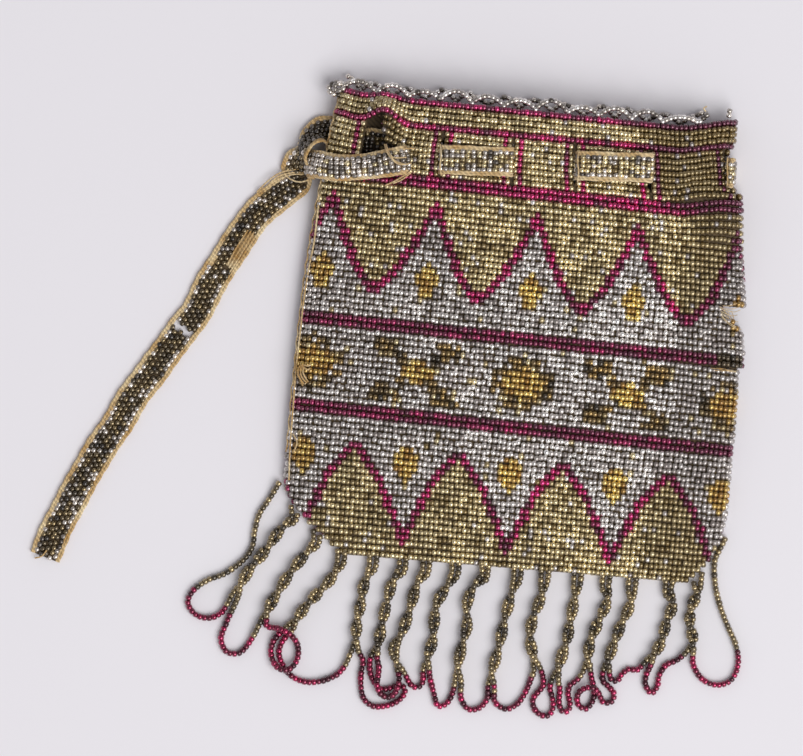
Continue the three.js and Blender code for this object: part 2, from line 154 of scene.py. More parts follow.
def smooth_line(points: Array, step: float) -> Array:
    """Resample a smooth curve through points at an even step.

    The curve is a centripetal Catmull-Rom spline. Values after the first three of each point, such as a
    direction that goes with it, are carried along.

    Args:
        points: The points to pass through, one a row, x, y and z first.
        step: The wanted distance between samples.

    Returns:
        The samples, one a row, from the first point to the last.
    """
    before = 2 * points[0] - points[1]
    after = 2 * points[-1] - points[-2]
    knots = np.vstack((before, points, after))
    spans = np.maximum(np.linalg.norm(np.diff(knots[:, :3], axis=0), axis=1) ** 0.5, 1e-6)
    share = np.linspace(0.0, 1.0, SPAN_SAMPLES, endpoint=False)[:, None]
    pieces = []
    for place in range(len(points) - 1):
        p0, p1, p2, p3 = knots[place:place + 4]
        d0, d1, d2 = spans[place:place + 3]
        leave = ((p1 - p0) / d0 - (p2 - p0) / (d0 + d1) + (p2 - p1) / d1) * d1
        arrive = ((p2 - p1) / d1 - (p3 - p1) / (d1 + d2) + (p3 - p2) / d2) * d1
        cubic = 2 * p1 - 2 * p2 + leave + arrive
        square = -3 * p1 + 3 * p2 - 2 * leave - arrive
        pieces.append(p1 + share * leave + share**2 * square + share**3 * cubic)
    fine = np.vstack((*pieces, points[-1:]))
    run = run_along(fine)
    return resample(fine, run, np.linspace(0.0, run[-1], max(2, round(run[-1] / step) + 1)))


def line_length(points: Array) -> float:
    """Length of a line of points."""
    return float(np.linalg.norm(np.diff(points[:, :3], axis=0), axis=1).sum())


# Photograph and body form


@dataclass(frozen=True)
class PhotoFrame:
    """How the photograph lies over the pouch, which it shows from straight above.

    Attributes:
        origin: The pixel that shows the pouch's origin.
        scale: Millimetres to a pixel.
        tilt: Turn of the pouch's rows in the picture, in radians.
    """

    width: int = 803
    height: int = 756
    origin: Span = (520.0, 330.0)
    scale: float = 0.305
    tilt: float = math.radians(5.0)

    def place(self, pixels: Sequence[Pixel], height: float = 0.0) -> Array:
        """Points at a height above the surface for pixels of the picture.

        Args:
            pixels: Pixel coordinates, each with an optional lift in millimetres.
            height: Height of the points that have no lift.

        Returns:
            One point a row.
        """
        table = np.array([(pixel[0], pixel[1], pixel[2] if len(pixel) > 2 else 0.0) for pixel in pixels])
        right = table[:, 0] - self.origin[0]
        up = self.origin[1] - table[:, 1]
        x = (right * math.cos(self.tilt) - up * math.sin(self.tilt)) * self.scale
        y = (right * math.sin(self.tilt) + up * math.cos(self.tilt)) * self.scale
        return np.column_stack((x, y, height + table[:, 2]))


@dataclass(frozen=True)
class BodyForm:
    """Form of the flattened woven tube, with the values that its solid has.

    Lengths are millimetres, and rows count down from the mouth.
    """

    row_pitch: float = 1.869
    row_count: int = 75
    column_pitch: float = 1.456
    front_columns: int = 93
    tube_columns: int = 188
    mouth_width: float = 118.8
    flare_rows: float = 52.0
    flare_ease: float = 2.4
    left_corner_cut: float = 20.0
    right_corner_cut: float = 9.5
    corner_rows: float = 11.0
    corner_ease: float = 1.7
    bottom_edge_height: float = 4.4
    belly_height: float = 10.0
    belly_rows: float = 40.0
    belly_ease: float = 2.2
    band_rise: float = 3.5
    band_lift: float = 1.75
    band_start_row: float = 24.0
    band_full_row: float = 15.0
    lip_rows: float = 4.0
    lip_droop: float = 0.8
    fold_share: float = 0.3
    front_roundness: float = 3.0
    back_roundness: float = 6.0
    back_press: float = 0.15
    seam_rows: float = 3.0
    seam_half: float = 1.0
    wall: float = 1.6
    picot_reach: float = 5.0
    arc_samples: int = 600

    @property
    def mouth_y(self) -> float:
        """Y of the mouth's edge."""
        return (self.row_count * self.row_pitch - self.picot_reach) / 2

    @property
    def body_half(self) -> float:
        """Half width of the body at its widest."""
        return self.front_columns * self.column_pitch / 2

    def row_y(self, row: Value) -> Value:
        """Y of a row, where a whole number is the upper edge of that row."""
        return self.mouth_y - row * self.row_pitch

    def faces_front(self, columns: Value) -> Array | bool:
        """Which columns are on the front wall."""
        return np.abs(columns) < self.tube_columns / 4

    def half_widths(self, row: float) -> Place:
        """Half widths at a row.

        Args:
            row: The row.

        Returns:
            Half widths to the left, to the right, and without the cut corners.
        """
        flare = 1 - (1 - clamp(row / self.flare_rows)) ** self.flare_ease
        half = self.mouth_width / 2 + (self.body_half - self.mouth_width / 2) * flare
        cut = clamp((row - self.row_count + self.corner_rows) / self.corner_rows) ** self.corner_ease
        return half - self.left_corner_cut * cut, half - self.right_corner_cut * cut, half

    def heights(self, row: float) -> Place:
        """Heights at a row.

        Args:
            row: The row.

        Returns:
            Heights of the back wall, the front wall and the side folds.
        """
        belly = 1 - (1 - clamp((self.row_count - row) / self.belly_rows)) ** self.belly_ease
        band = 1 - smoothstep(row, self.band_full_row, self.band_start_row)
        lip = 1 - smoothstep(row, 0.0, self.lip_rows)
        back = self.band_lift * band - self.lip_droop * lip - self.back_press
        middle = self.bottom_edge_height + (self.belly_height - self.bottom_edge_height) * belly
        front = middle + self.band_rise * band - self.lip_droop * lip
        fold = back + self.fold_share * (front - back)
        sewn = smoothstep(row, self.row_count - self.seam_rows, self.row_count)
        return back, front + (fold + 2 * self.seam_half - front) * sewn, fold

    def quarter(self, row: float, side: Side, sign: int, inset: float, cut: bool = True) -> tuple[Array, ...]:
        """One quarter of the outline at a row, from the middle of a wall out to the side.

        Args:
            row: The row.
            side: Which wall.
            sign: 1 for the right half and -1 for the left half.
            inset: Depth below the outside.
            cut: Whether the bottom corners are cut in.

        Returns:
            Arc length, x and z along the quarter.
        """
        left, right, full = self.half_widths(row)
        back, front, fold = self.heights(row)
        reach = (full if not cut else right if sign > 0 else left) - inset
        rise = front - fold - inset if side is Side.FRONT else back - fold + inset
        roundness = self.front_roundness if side is Side.FRONT else self.back_roundness
        turn = np.linspace(0.0, 1.0, self.arc_samples) ** (roundness / 2) * math.pi / 2
        x = reach * np.sin(turn) ** (2 / roundness)
        z = fold + rise * np.clip(np.cos(turn), 0.0, 1.0) ** (2 / roundness)
        arc = np.concatenate(([0.0], np.cumsum(np.hypot(np.diff(x), np.diff(z)))))
        return arc, sign * x, z

    def surface(self, rows: Array, columns: Array, inset: float) -> tuple[Array, Array]:
        """Places on the woven tube.

        Args:
            rows: Rows, where a half is the middle of a row.
            columns: Columns from the front's middle, positive to the right, half the tube's count each way.
            inset: Depth below the outside.

        Returns:
            A grid of points, and a grid that says which of them the cut corners leave standing.
        """
        points = np.zeros((len(rows), len(columns), 3))
        standing = np.zeros((len(rows), len(columns)), bool)
        for place, row in enumerate(rows):
            for sign in (-1, 1):
                pick = columns < 0 if sign < 0 else columns >= 0
                front, back = (self.quarter(row, side, sign, inset) for side in Side)
                whole = [self.quarter(row, side, sign, inset, cut=False)[0][-1] for side in Side]
                round_half = whole[0] + whole[1]
                from_front = np.abs(columns[pick]) * 2 * round_half / self.tube_columns
                from_back = round_half - from_front
                facing = from_front <= whole[0]
                for axis, values in ((0, 1), (2, 2)):
                    points[place, pick, axis] = np.where(
                        facing, np.interp(from_front, front[0], front[values]),
                        np.interp(from_back, back[0], back[values]))
                standing[place, pick] = np.where(facing, from_front <= front[0][-1], from_back <= back[0][-1])
            points[place, :, 1] = self.row_y(row)
        return points, standing

    def column_at(self, row: float, x: float, side: Side) -> float:
        """The place between two columns that is nearest an x on one wall.

        Args:
            row: The row.
            x: Place along the row.
            side: Which wall.

        Returns:
            The column number, a whole number and a half.
        """
        half = self.tube_columns // 2
        columns = np.arange(-half, half) + 0.5
        facing = self.faces_front(columns)
        places = self.surface(np.array([row]), columns, 0.0)[0][0, :, 0]
        away = np.where(facing == (side is Side.FRONT), np.abs(places - x), np.inf)
        return float(columns[int(np.argmin(away))])

    def wall_height(self, side: Side, x: float, y: float, inset: float = 0.0) -> float:
        """Height of a wall at a place.

        Args:
            side: Which wall.
            x: Place along the row.
            y: Place towards the mouth.
            inset: Depth below the wall's outside.

        Returns:
            The height.
        """
        row = (self.mouth_y - y) / self.row_pitch
        left, right, _ = self.half_widths(row)
        back, front, fold = self.heights(row)
        share = min(abs(x) / ((right if x > 0 else left) - inset), 1.0)
        if side is Side.FRONT:
            roundness, rise = self.front_roundness, front - fold - inset
        else:
            roundness, rise = self.back_roundness, back - fold + inset
        return fold + rise * (1 - share**roundness) ** (1 / roundness)


PHOTO = PhotoFrame()
FORM = BodyForm()
# Row of the strap's middle, x of the slits, how far the strap leans in each, and x of the pulled-open slit.
STRAP_ROW = 9.23
SLIT_PLACES = (-51.0, -28.0, -5.8, 13.4, 36.6, 61.7)
SLIT_LEANS = (0.85, 0.85, 0.85, 0.85, 0.85, 2.8)
TORN_PLACE = -53.4


# Finishes


def add_node(tree: bpy.types.NodeTree, kind: str, values: dict | None = None, links: dict | None = None,
             **settings: object) -> bpy.types.Node:
    """Add a shader node with its settings, socket values and links.

    Args:
        tree: The material's node tree.
        kind: The node's type name.
        values: Socket defaults by name or number.
        links: Output sockets to link, by input name or number.
        **settings: Properties of the node.

    Returns:
        The new node.
    """
    node = tree.nodes.new(kind)
    for name, setting in settings.items():
        setattr(node, name, setting)
    for socket, value in (values or {}).items():
        node.inputs[socket].default_value = value
    for socket, source in (links or {}).items():
        tree.links.new(source, node.inputs[socket])
    return node


# Socket numbers of a colour mix node, whose socket names repeat.
FACTOR, COLOUR_A, COLOUR_B, COLOUR_OUT = 0, 6, 7, 2
# The part of a noise's range that most of it lies in.
NOISE_SPAN = (0.3, 0.7)


def per_metre(millimetres: float) -> float:
    """Noise scale that makes features about this size on Object coordinates, which are metres."""
    return 1.0 / (millimetres * METRE)


class Shading:
    """One material while it is made, with the node arrangements that the finishes share."""

    def __init__(self, name: str) -> None:
        """Start a material.

        Args:
            name: Name of the material.
        """
        self.material = bpy.data.materials.new(name)
        self.material.use_nodes = True
        self.tree = self.material.node_tree

    def place(self) -> Socket:
        """Object coordinates."""
        return add_node(self.tree, "ShaderNodeTexCoord").outputs["Object"]

    def noise(self, size: float, detail: float) -> Socket:
        """Noise over the piece, whose features have a size in millimetres."""
        values = {"Scale": per_metre(size), "Detail": detail}
        return add_node(self.tree, "ShaderNodeTexNoise", values, {"Vector": self.place()}).outputs["Fac"]

    def remap(self, source: Socket, to: Span, span: Span = (0.0, 1.0)) -> Socket:
        """Turn the span of a level into another."""
        values = {"From Min": span[0], "From Max": span[1], "To Min": to[0], "To Max": to[1]}
        return add_node(self.tree, "ShaderNodeMapRange", values, {"Value": source}).outputs["Result"]

    def mix(self, low: str, high: str, share: Socket) -> Socket:
        """Go from one sRGB colour to another by a level."""
        values = {COLOUR_A: linear(low), COLOUR_B: linear(high)}
        return add_node(self.tree, "ShaderNodeMix", values, {FACTOR: share},
                        data_type="RGBA").outputs[COLOUR_OUT]

    def shade(self, colour: Socket, level: Socket) -> Socket:
        """Multiply a colour by a level."""
        return add_node(self.tree, "ShaderNodeMix", {FACTOR: 1.0}, {COLOUR_A: colour, COLOUR_B: level},
                        data_type="RGBA", blend_type="MULTIPLY").outputs[COLOUR_OUT]

    def bump(self, height: Socket, strength: float, depth: float) -> Socket:
        """Fine relief with a depth in millimetres, below what the meshes show."""
        values = {"Strength": strength, "Distance": depth * METRE}
        return add_node(self.tree, "ShaderNodeBump", values, {"Height": height}).outputs["Normal"]

    def dress(self, links: dict[str, Socket], values: dict[str, object]) -> Material:
        """Finish the material.

        Args:
            links: What drives the shader's inputs, by name.
            values: Plain values of other inputs.

        Returns:
            The material.
        """
        shader = self.tree.nodes["Principled BSDF"]
        for name, source in links.items():
            self.tree.links.new(source, shader.inputs[name])
        for name, value in values.items():
            shader.inputs[name].default_value = value
        return self.material


@dataclass(frozen=True)
class BeadFinish:
    """Metallised glass seed bead: a thin metal film under glass, worn unevenly by handling.

    The film gives a dark body that mirrors its surroundings, and the glass over it a small pale glint.

    Attributes:
        worn: sRGB colour of the most tarnished beads.
        fresh: sRGB colour of the brightest beads.
        dulling: How much rougher the most tarnished beads are.
        patch_level: Brightness of the darkest and the lightest patches.
        grit_roughness: What the grit takes from or adds to the roughness.
        grit_bump: Strength and depth of the grit's relief.
    """

    name: str
    worn: str
    fresh: str
    metallic: float = 0.9
    roughness: float = 0.17
    dulling: float = 0.2
    coat: float = 1.0
    coat_roughness: float = 0.12
    coat_ior: float = 1.7
    patch: float = 13.0
    patch_level: Span = (0.84, 1.08)
    grit: float = 0.7
    grit_roughness: Span = (-0.06, 0.12)
    grit_bump: Span = (0.25, 0.04)

    def material(self) -> Material:
        """Make the material, whose tone follows each bead's own attribute.

        Returns:
            The material.
        """
        shading = Shading(self.name)
        tone = add_node(shading.tree, "ShaderNodeAttribute", attribute_name="tone").outputs["Fac"]
        film = shading.mix(self.worn, self.fresh, tone)
        patches = shading.remap(shading.noise(self.patch, 3.0), self.patch_level, NOISE_SPAN)
        grit = shading.noise(self.grit, 2.0)
        dull = shading.remap(tone, (self.roughness + self.dulling, self.roughness))
        gritty = shading.remap(grit, self.grit_roughness)
        rough = add_node(shading.tree, "ShaderNodeMath", {}, {0: dull, 1: gritty}, operation="ADD").outputs[0]
        links = {"Base Color": shading.shade(film, patches), "Roughness": rough,
                 "Normal": shading.bump(grit, *self.grit_bump)}
        return shading.dress(links, {"Metallic": self.metallic, "Coat Weight": self.coat,
                                     "Coat Roughness": self.coat_roughness, "Coat IOR": self.coat_ior})


@dataclass(frozen=True)
class CottonFinish:
    """Spun cotton thread, hand-worked and yellowed: matt, fuzzy and uneven in tone.

    Attributes:
        shade: sRGB colour of the soiled stretches.
        light: sRGB colour of the cleaner stretches.
        ply: Spacing of the spun plies in millimetres, as coarse as shows at this scale.
        ply_bump: Strength and depth of the plies' relief.
    """

    name: str
    shade: str
    light: str
    soil: float = 5.0
    ply: float = 0.9
    ply_shade_level: Span = (0.66, 1.06)
    ply_bump: Span = (0.8, 0.15)
    roughness: float = 0.9
    sheen: float = 0.25
    sheen_roughness: float = 0.6

    def material(self) -> Material:
        """Make the material.

        Returns:
            The material.
        """
        shading = Shading(self.name)
        reach = shading.remap(shading.noise(self.soil, 4.0), (0.0, 1.0), NOISE_SPAN)
        # A diagonal wave repeats after 2 pi / 10 of its scale, measured along x + y + z.
        bands = 2 * math.pi / (10 * math.sqrt(3)) * per_metre(self.ply)
        values = {"Scale": bands, "Distortion": 2.0, "Detail": 2.0}
        plies = add_node(shading.tree, "ShaderNodeTexWave", values, {"Vector": shading.place()},
                         bands_direction="DIAGONAL").outputs["Fac"]
        # Painted shade: the colour is darkened in the grooves between the spun plies.
        groove_shade = shading.remap(plies, self.ply_shade_level)
        colour = shading.shade(shading.mix(self.shade, self.light, reach), groove_shade)
        links = {"Base Color": colour, "Normal": shading.bump(plies, *self.ply_bump)}
        return shading.dress(links, {"Roughness": self.roughness, "Sheen Weight": self.sheen,
                                     "Sheen Roughness": self.sheen_roughness})


@dataclass(frozen=True)
class Finishes:
    """Every finish of the pouch, made once.

    Attributes:
        woven: Films in the order of Hue: grey glints, dull straw, deep pink, warm gold and near black.
        bronze: Dark brown film that keeps the strap's tail darker than the body.
        steel: Film from near black to white, which makes the strap's edges and the edging sparkle.
        olive: Dull green-brown film of the fringe.
        wine: Dark pink film of the loops' feet, with a weaker glint.
        ground: Soiled cotton, darkened further as painted shade, that shows as dark gaps between the beads.
        cotton: Cream thread, the lightest matt thing on the pouch.
    """

    woven: tuple[Material, ...]
    bronze: Material
    steel: Material
    olive: Material
    wine: Material
    ground: Material
    cotton: Material

    @classmethod
    def make(cls) -> Finishes:
        """Make the materials.

        Returns:
            The finishes, the woven ones in the order of Hue.
        """
        woven = (
            BeadFinish("silver_film_beads", "#988e88", "#fffaf5"),
            BeadFinish("khaki_film_beads", "#7f6834", "#fdebba"),
            BeadFinish("magenta_film_beads", "#5c0832", "#d41874"),
            BeadFinish("gilt_film_beads", "#9a7020", "#ffe286"),
            BeadFinish("brown_film_beads", "#33260f", "#ab8a4a"),
        )
        return cls(
            woven=tuple(finish.material() for finish in woven),
            bronze=BeadFinish("bronze_strap_beads", "#2a1f10", "#957f52").material(),
            steel=BeadFinish("steel_edge_beads", "#544a40", "#fbf1e6").material(),
            olive=BeadFinish("olive_fringe_beads", "#41351f", "#b09a6c").material(),
            wine=BeadFinish("wine_fringe_beads", "#480420", "#b41254", coat=0.7).material(),
            # The ground is soiled cotton, made darker still as painted shade between the beads.
            ground=CottonFinish("soiled_and_shaded_ground_threads", "#453828", "#66543a", sheen=0.0).material(),
            cotton=CottonFinish("cream_cotton_thread", "#c0944f", "#f2dcae").material(),
        )


# Beads, threads and woven grids


@dataclass(frozen=True)
class BeadShape:
    """A seed bead: a short barrel with rounded rims, its hole along X.

    Attributes:
        rim: How far the rims are rounded.
    """

    length: float
    radius: float
    rim: float
    sides: int

    def mesh(self) -> Mesh:
        """Model one bead.

        Returns:
            The bead's mesh, in millimetres.
        """
        shape = bmesh.new()
        bmesh.ops.create_cone(shape, cap_ends=True, cap_tris=False, segments=self.sides, radius1=self.radius,
                              radius2=self.radius, depth=self.length)
        rims = [edge for edge in shape.edges if len({round(vert.co.z, 4) for vert in edge.verts}) == 1]
        bmesh.ops.bevel(shape, geom=rims, offset=self.rim, offset_type="OFFSET", segments=1, profile=0.5,
                        affect="EDGES", material=-1)
        bmesh.ops.rotate(shape, verts=shape.verts, matrix=Matrix.Rotation(math.pi / 2, 3, "Y"))
        bmesh.ops.recalc_face_normals(shape, faces=shape.faces)
        return mesh_of(shape, "bead")


@dataclass
class BeadLay:
    """How a batch of beads lies.

    Attributes:
        tones: Brightness of each bead's film, from 0 to 1.
        sizes: Scale of each bead.
    """

    places: Array
    axes: Array
    normals: Array
    finishes: Array
    tones: Array
    sizes: Array

    @classmethod
    def scatter(cls, places: Array, axes: Array, normals: Array, finishes: Array, chance: Chance,
                tilt: float | Array) -> BeadLay:
        """Lay beads with the small differences that hand-strung beads have.

        Args:
            places: Centres.
            axes: Directions of the holes.
            normals: Directions away from the cloth.
            finishes: Material numbers.
            chance: Seeded random source.
            tilt: Spread of the beads' tilt, in radians, for all or as a column of one for each.

        Returns:
            The lay.
        """
        count = len(places)
        leaning = unit(axes + chance.normal(0.0, tilt, (count, 3)))
        rolled = unit(normals + chance.normal(0.0, BEAD_ROLL, (count, 3)))
        tones = np.clip(chance.normal(*FILM_TONE, count), 0.0, 1.0)
        return cls(places, leaning, rolled, finishes, tones, chance.normal(*BEAD_SIZE, count))

    def pick(self, keep: Array) -> BeadLay:
        """The part of the lay that a mask keeps."""
        parts = (self.places, self.axes, self.normals, self.finishes, self.tones, self.sizes)
        return BeadLay(*(part[keep] for part in parts))

    def stamp(self, name: str, shape: BeadShape, materials: Sequence[Material]) -> Piece:
        """Stamp one bead all over the lay, as one piece.

        Args:
            name: Name of the piece.
            shape: The bead.
            materials: Finishes that the material numbers stand for.

        Returns:
            The piece.
        """
        bead = shape.mesh()
        corners = np.empty(len(bead.vertices) * 3)
        bead.vertices.foreach_get("co", corners)
        corners = corners.reshape(-1, 3)
        loops = np.empty(len(bead.loops), np.int32)
        bead.loops.foreach_get("vertex_index", loops)
        starts = np.empty(len(bead.polygons), np.int32)
        bead.polygons.foreach_get("loop_start", starts)
        bpy.data.meshes.remove(bead)

        along = self.axes
        out = unit(self.normals - (self.normals * along).sum(1, keepdims=True) * along)
        across = np.cross(out, along)
        basis = np.stack((along, across, out), axis=1) * self.sizes[:, None, None]
        vertices = np.einsum("vk,nkd->nvd", corners, basis) + self.places[:, None, :]
        order = np.arange(len(self.places), dtype=np.int32)[:, None]

        made = bpy.data.meshes.new(name)
        made.vertices.add(vertices.shape[0] * vertices.shape[1])
        made.loops.add(order.size * loops.size)
        made.polygons.add(order.size * starts.size)
        made.vertices.foreach_set("co", (vertices * METRE).astype(np.float32).ravel())
        made.loops.foreach_set("vertex_index", (loops + order * len(corners)).ravel())
        made.polygons.foreach_set("loop_start", (starts + order * loops.size).ravel())
        made.polygons.foreach_set("material_index", np.repeat(self.finishes.astype(np.int32), starts.size))
        made.polygons.foreach_set("use_smooth", np.ones(order.size * starts.size, bool))
        made.update(calc_edges=True)
        tone = made.attributes.new("tone", "FLOAT", "FACE")
        tone.data.foreach_set("value", np.repeat(self.tones.astype(np.float32), starts.size))
        return add_piece(name, made, materials)


def link(name: str, data: bpy.types.ID) -> Piece:
    """Put data into the scene as an object.

    Args:
        name: Name of the object.
        data: Its mesh, curve, lamp or camera.

    Returns:
        The object.
    """
    made = bpy.data.objects.new(name, data)
    bpy.context.scene.collection.objects.link(made)
    return made


def mesh_of(shape: Shape, name: str) -> Mesh:
    """Turn a finished shape into a mesh, and free it.

    Args:
        shape: The shape.
        name: Name of the mesh.

    Returns:
        The mesh.
    """
    mesh = bpy.data.meshes.new(name)
    shape.to_mesh(mesh)
    shape.free()
    return mesh


def add_piece(name: str, mesh: Mesh, materials: Iterable[Material]) -> Piece:
    """Put a finished mesh into the scene as a piece that rides with the pouch.

    Args:
        name: Name of the piece.
        mesh: Its mesh, in metres.
        materials: Its finishes, in slot order.

    Returns:
        The piece.
    """
    for material in materials:
        mesh.materials.append(material)
    piece = link(name, mesh)
    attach(piece, BODY)
    LOG.info("%s: %d faces", name, len(mesh.polygons))
    return piece


def lay_grid(points: Array) -> Shape:
    """A woven grid of faces over a grid of points.

    Args:
        points: Points by row and column.

    Returns:
        The grid, in metres, with its vertices numbered row by row.
    """
    rows, columns, _ = points.shape
    grid = bmesh.new()
    bmesh.ops.create_grid(grid, x_segments=columns - 1, y_segments=rows - 1, size=1.0)
    for vert in grid.verts:
        column = round((vert.co.x + 1) / 2 * (columns - 1))
        row = round((vert.co.y + 1) / 2 * (rows - 1))
        vert.co = points[row, column] * METRE
        vert.index = row * columns + column
    return grid


def add_thread(name: str, lines: Sequence[Array], radius: float, material: Material) -> Piece:
    """Round threads along lines of points, as one piece.

    Args:
        name: Name of the piece.
        lines: One line of points for each thread.
        radius: Radius of the thread.
        material: Its finish.

    Returns:
        The piece.
    """
    curve = bpy.data.curves.new(name, "CURVE")
    curve.dimensions = "3D"
    curve.bevel_depth = radius * METRE
    curve.bevel_resolution = 1
    curve.use_fill_caps = True
    for line in lines:
        spline = curve.splines.new("POLY")
        spline.points.add(len(line) - 1)
        flat = np.column_stack((line[:, :3] * METRE, np.ones(len(line))))
        spline.points.foreach_set("co", flat.astype(np.float32).ravel())
        spline.use_smooth = True
    drawn = link(name, curve)
    bpy.context.view_layer.update()
    mesh = bpy.data.meshes.new_from_object(drawn.evaluated_get(bpy.context.evaluated_depsgraph_get()))
    bpy.data.objects.remove(drawn)
    bpy.data.curves.remove(curve)
    mesh.name = name
    mesh.materials.clear()
    return add_piece(name, mesh, [material])


# Woven pattern


@dataclass(frozen=True)
class WovenPattern:
    """The traditional zigzag pattern, counted in beads.

    Columns count from the front's middle, where one figure stands, and rows down from the mouth.

    Attributes:
        line_half: Half height of a level zigzag line, and what its slope adds.
        strays: Finish, the finish that replaces it now and then, and how often.
        soiled: First and last row of the soiled stretch of a stripe, and the columns that it lies between.
        seam_column: Column before which the pattern goes on from the far side of the fold.
    """

    period: int = 22
    offset: int = 1
    single_rows: tuple[int, ...] = (0, 4)
    slot_stripe: tuple[int, int] = (13, 14)
    upper_stripe: tuple[int, int] = (37, 38)
    lower_stripe: tuple[int, int] = (51, 52)
    slot_rows: tuple[int, int] = (5, 12)
    upper_peak: float = 18.6
    upper_valley: float = 32.1
    lower_valley: float = 57.6
    lower_peak: float = 71.5
    side_ease: float = 1.5
    line_half: Span = (0.72, 0.44)
    oval_rows: tuple[float, ...] = (30.2, 59.7)
    oval_half: Span = (2.2, 2.9)
    motif_row: float = 45.0
    diamond_half: Span = (7.0, 4.6)
    diamond_heart: Span = (4.6, 2.6)
    diamond_ease: float = 1.5
    cross_heart: Span = (3.7, 1.65)
    arm_slope: float = 0.57
    arm_half: float = 0.85
    arm_reach: Span = (8.5, 4.8)
    tip_middle: Span = (6.5, 3.7)
    tip_half: Span = (3.0, 1.6)
    strays: tuple[tuple[Hue, Hue, float], ...] = (
        (Hue.SILVER, Hue.KHAKI, 0.02), (Hue.KHAKI, Hue.SILVER, 0.05), (Hue.BROWN, Hue.SILVER, 0.28),
        (Hue.BROWN, Hue.KHAKI, 0.14),
    )
    soiled: tuple[int, int, int, int] = (37, 38, 40, 47)
    seam_column: int = -47
    slits: tuple[float, ...] = ()
    torn_slit: float = -37.5
    slit_trim: float = 1.5

    def from_peak(self, columns: Array) -> Array:
        """Columns to the nearest figure."""
        half = self.period // 2
        return np.abs((columns - self.offset + half) % self.period - half)

    def zigzag(self, rows: Array, columns: Array, peak: float, valley: float) -> tuple[Array, Array]:
        """A zigzag line that is sharp at its peak and round at its valley.

        Args:
            rows: Middles of the rows.
            columns: Columns.
            peak: Row of the sharp turn, at a figure.
            valley: Row of the round turn, between figures.

        Returns:
            Where the row lies past the line from its sharp side, and where it is on the line.
        """
        share = 1 - np.maximum(self.from_peak(columns) - 0.5, 0) / (self.period / 2 - 0.5)
        line = valley + (peak - valley) * share**self.side_ease
        steep = abs(peak - valley) / (self.period / 2) * self.side_ease * share ** (self.side_ease - 1)
        half = self.line_half[0] + self.line_half[1] * steep
        return (rows - line) * np.sign(valley - peak), np.abs(rows - line) <= half

    @staticmethod
    def rounded(wide: Array, tall: Array, half: Span, ease: float = 2.0) -> Array:
        """Which places lie in a rounded figure.

        Args:
            wide: Columns from its middle.
            tall: Rows from its middle.
            half: Its half width and half height.
            ease: Exponent of its sides, 2 for an oval.

        Returns:
            A grid that says where it is.
        """
        return (wide / half[0]) ** ease + (tall / half[1]) ** ease <= 1

    def motif(self, rows: Array, columns: Array) -> tuple[Array, Array]:
        """The figures of the middle band: diamonds and crosses by turns, round gilt hearts.

        Args:
            rows: Middles of the rows.
            columns: Columns.

        Returns:
            Where the gilt hearts are, and where the brown figures are.
        """
        crossed = np.round((columns - self.offset) / self.period) % 2 == 1
        wide = self.from_peak(columns)
        tall = np.abs(rows - self.motif_row)
        heart = np.where(crossed, self.rounded(wide, tall, self.cross_heart),
                         self.rounded(wide, tall, self.diamond_heart, self.diamond_ease))
        arm = (np.abs(tall - self.arm_slope * wide) <= self.arm_half) & (wide <= self.arm_reach[0])
        tip = self.rounded(wide - self.tip_middle[0], tall - self.tip_middle[1], self.tip_half)
        figure = np.where(crossed, arm & (tall <= self.arm_reach[1]) | tip,
                          self.rounded(wide, tall, self.diamond_half, self.diamond_ease))
        return heart, figure

    def hues(self, rows: Array, columns: Array) -> Array:
        """The finish of every bead.

        Args:
            rows: Row numbers, as a column of the grid.
            columns: Column numbers, as a row of the grid.

        Returns:
            A grid of Hue numbers.
        """
        middle = rows + 0.5
        beside = [slit + side * self.slit_trim for slit in self.slits for side in (-1, 1)]
        trims = np.isin(columns, [self.torn_slit - self.slit_trim, *beside])
        columns = np.where(columns < self.seam_column, columns + FORM.tube_columns, columns)
        below_upper, on_upper = self.zigzag(middle, columns, self.upper_peak, self.upper_valley)
        below_lower, on_lower = self.zigzag(middle, columns, self.lower_peak, self.lower_valley)
        heart, figure = self.motif(middle, columns)
        found = np.full(np.broadcast(rows, columns).shape, Hue.SILVER, int)
        over = rows < self.upper_stripe[0]
        under = rows > self.lower_stripe[1]
        found[over & (below_upper < 0) | under & (below_lower < 0)] = Hue.KHAKI
        for row in self.oval_rows:
            found[self.rounded(self.from_peak(columns), middle - row, self.oval_half)] = Hue.GILT
        found[over & (rows > self.slot_stripe[1]) & on_upper | under & on_lower] = Hue.MAGENTA
        band = (rows > self.upper_stripe[1]) & (rows < self.lower_stripe[0])
        found[band & figure] = Hue.BROWN
        found[band & heart] = Hue.GILT
        lines = self.single_rows + self.slot_stripe + self.upper_stripe + self.lower_stripe
        found[np.broadcast_to(np.isin(rows, lines), found.shape)] = Hue.MAGENTA
        slots = (rows >= self.slot_rows[0]) & (rows <= self.slot_rows[1])
        found[slots & trims] = Hue.MAGENTA
        return found

    def with_strays(self, found: Array, rows: Array, columns: Array, chance: Chance) -> Array:
        """Swap the odd bead for one of another lot, as hand weaving does, and soil one end of a stripe.

        Args:
            found: Grid of Hue numbers.
            rows: Row numbers, as a column of the grid.
            columns: Column numbers, as a row of the grid.
            chance: Seeded random source.

        Returns:
            The mixed grid.
        """
        draw = chance.random(found.shape)
        mixed = found.copy()
        for source, target, share in self.strays:
            mixed[(found == source) & (draw < share)] = target
        first, last, left, right = self.soiled
        mixed[(rows >= first) & (rows <= last) & (columns > left) & (columns < right)] = Hue.BROWN
        return mixed


# Sub-assemblies


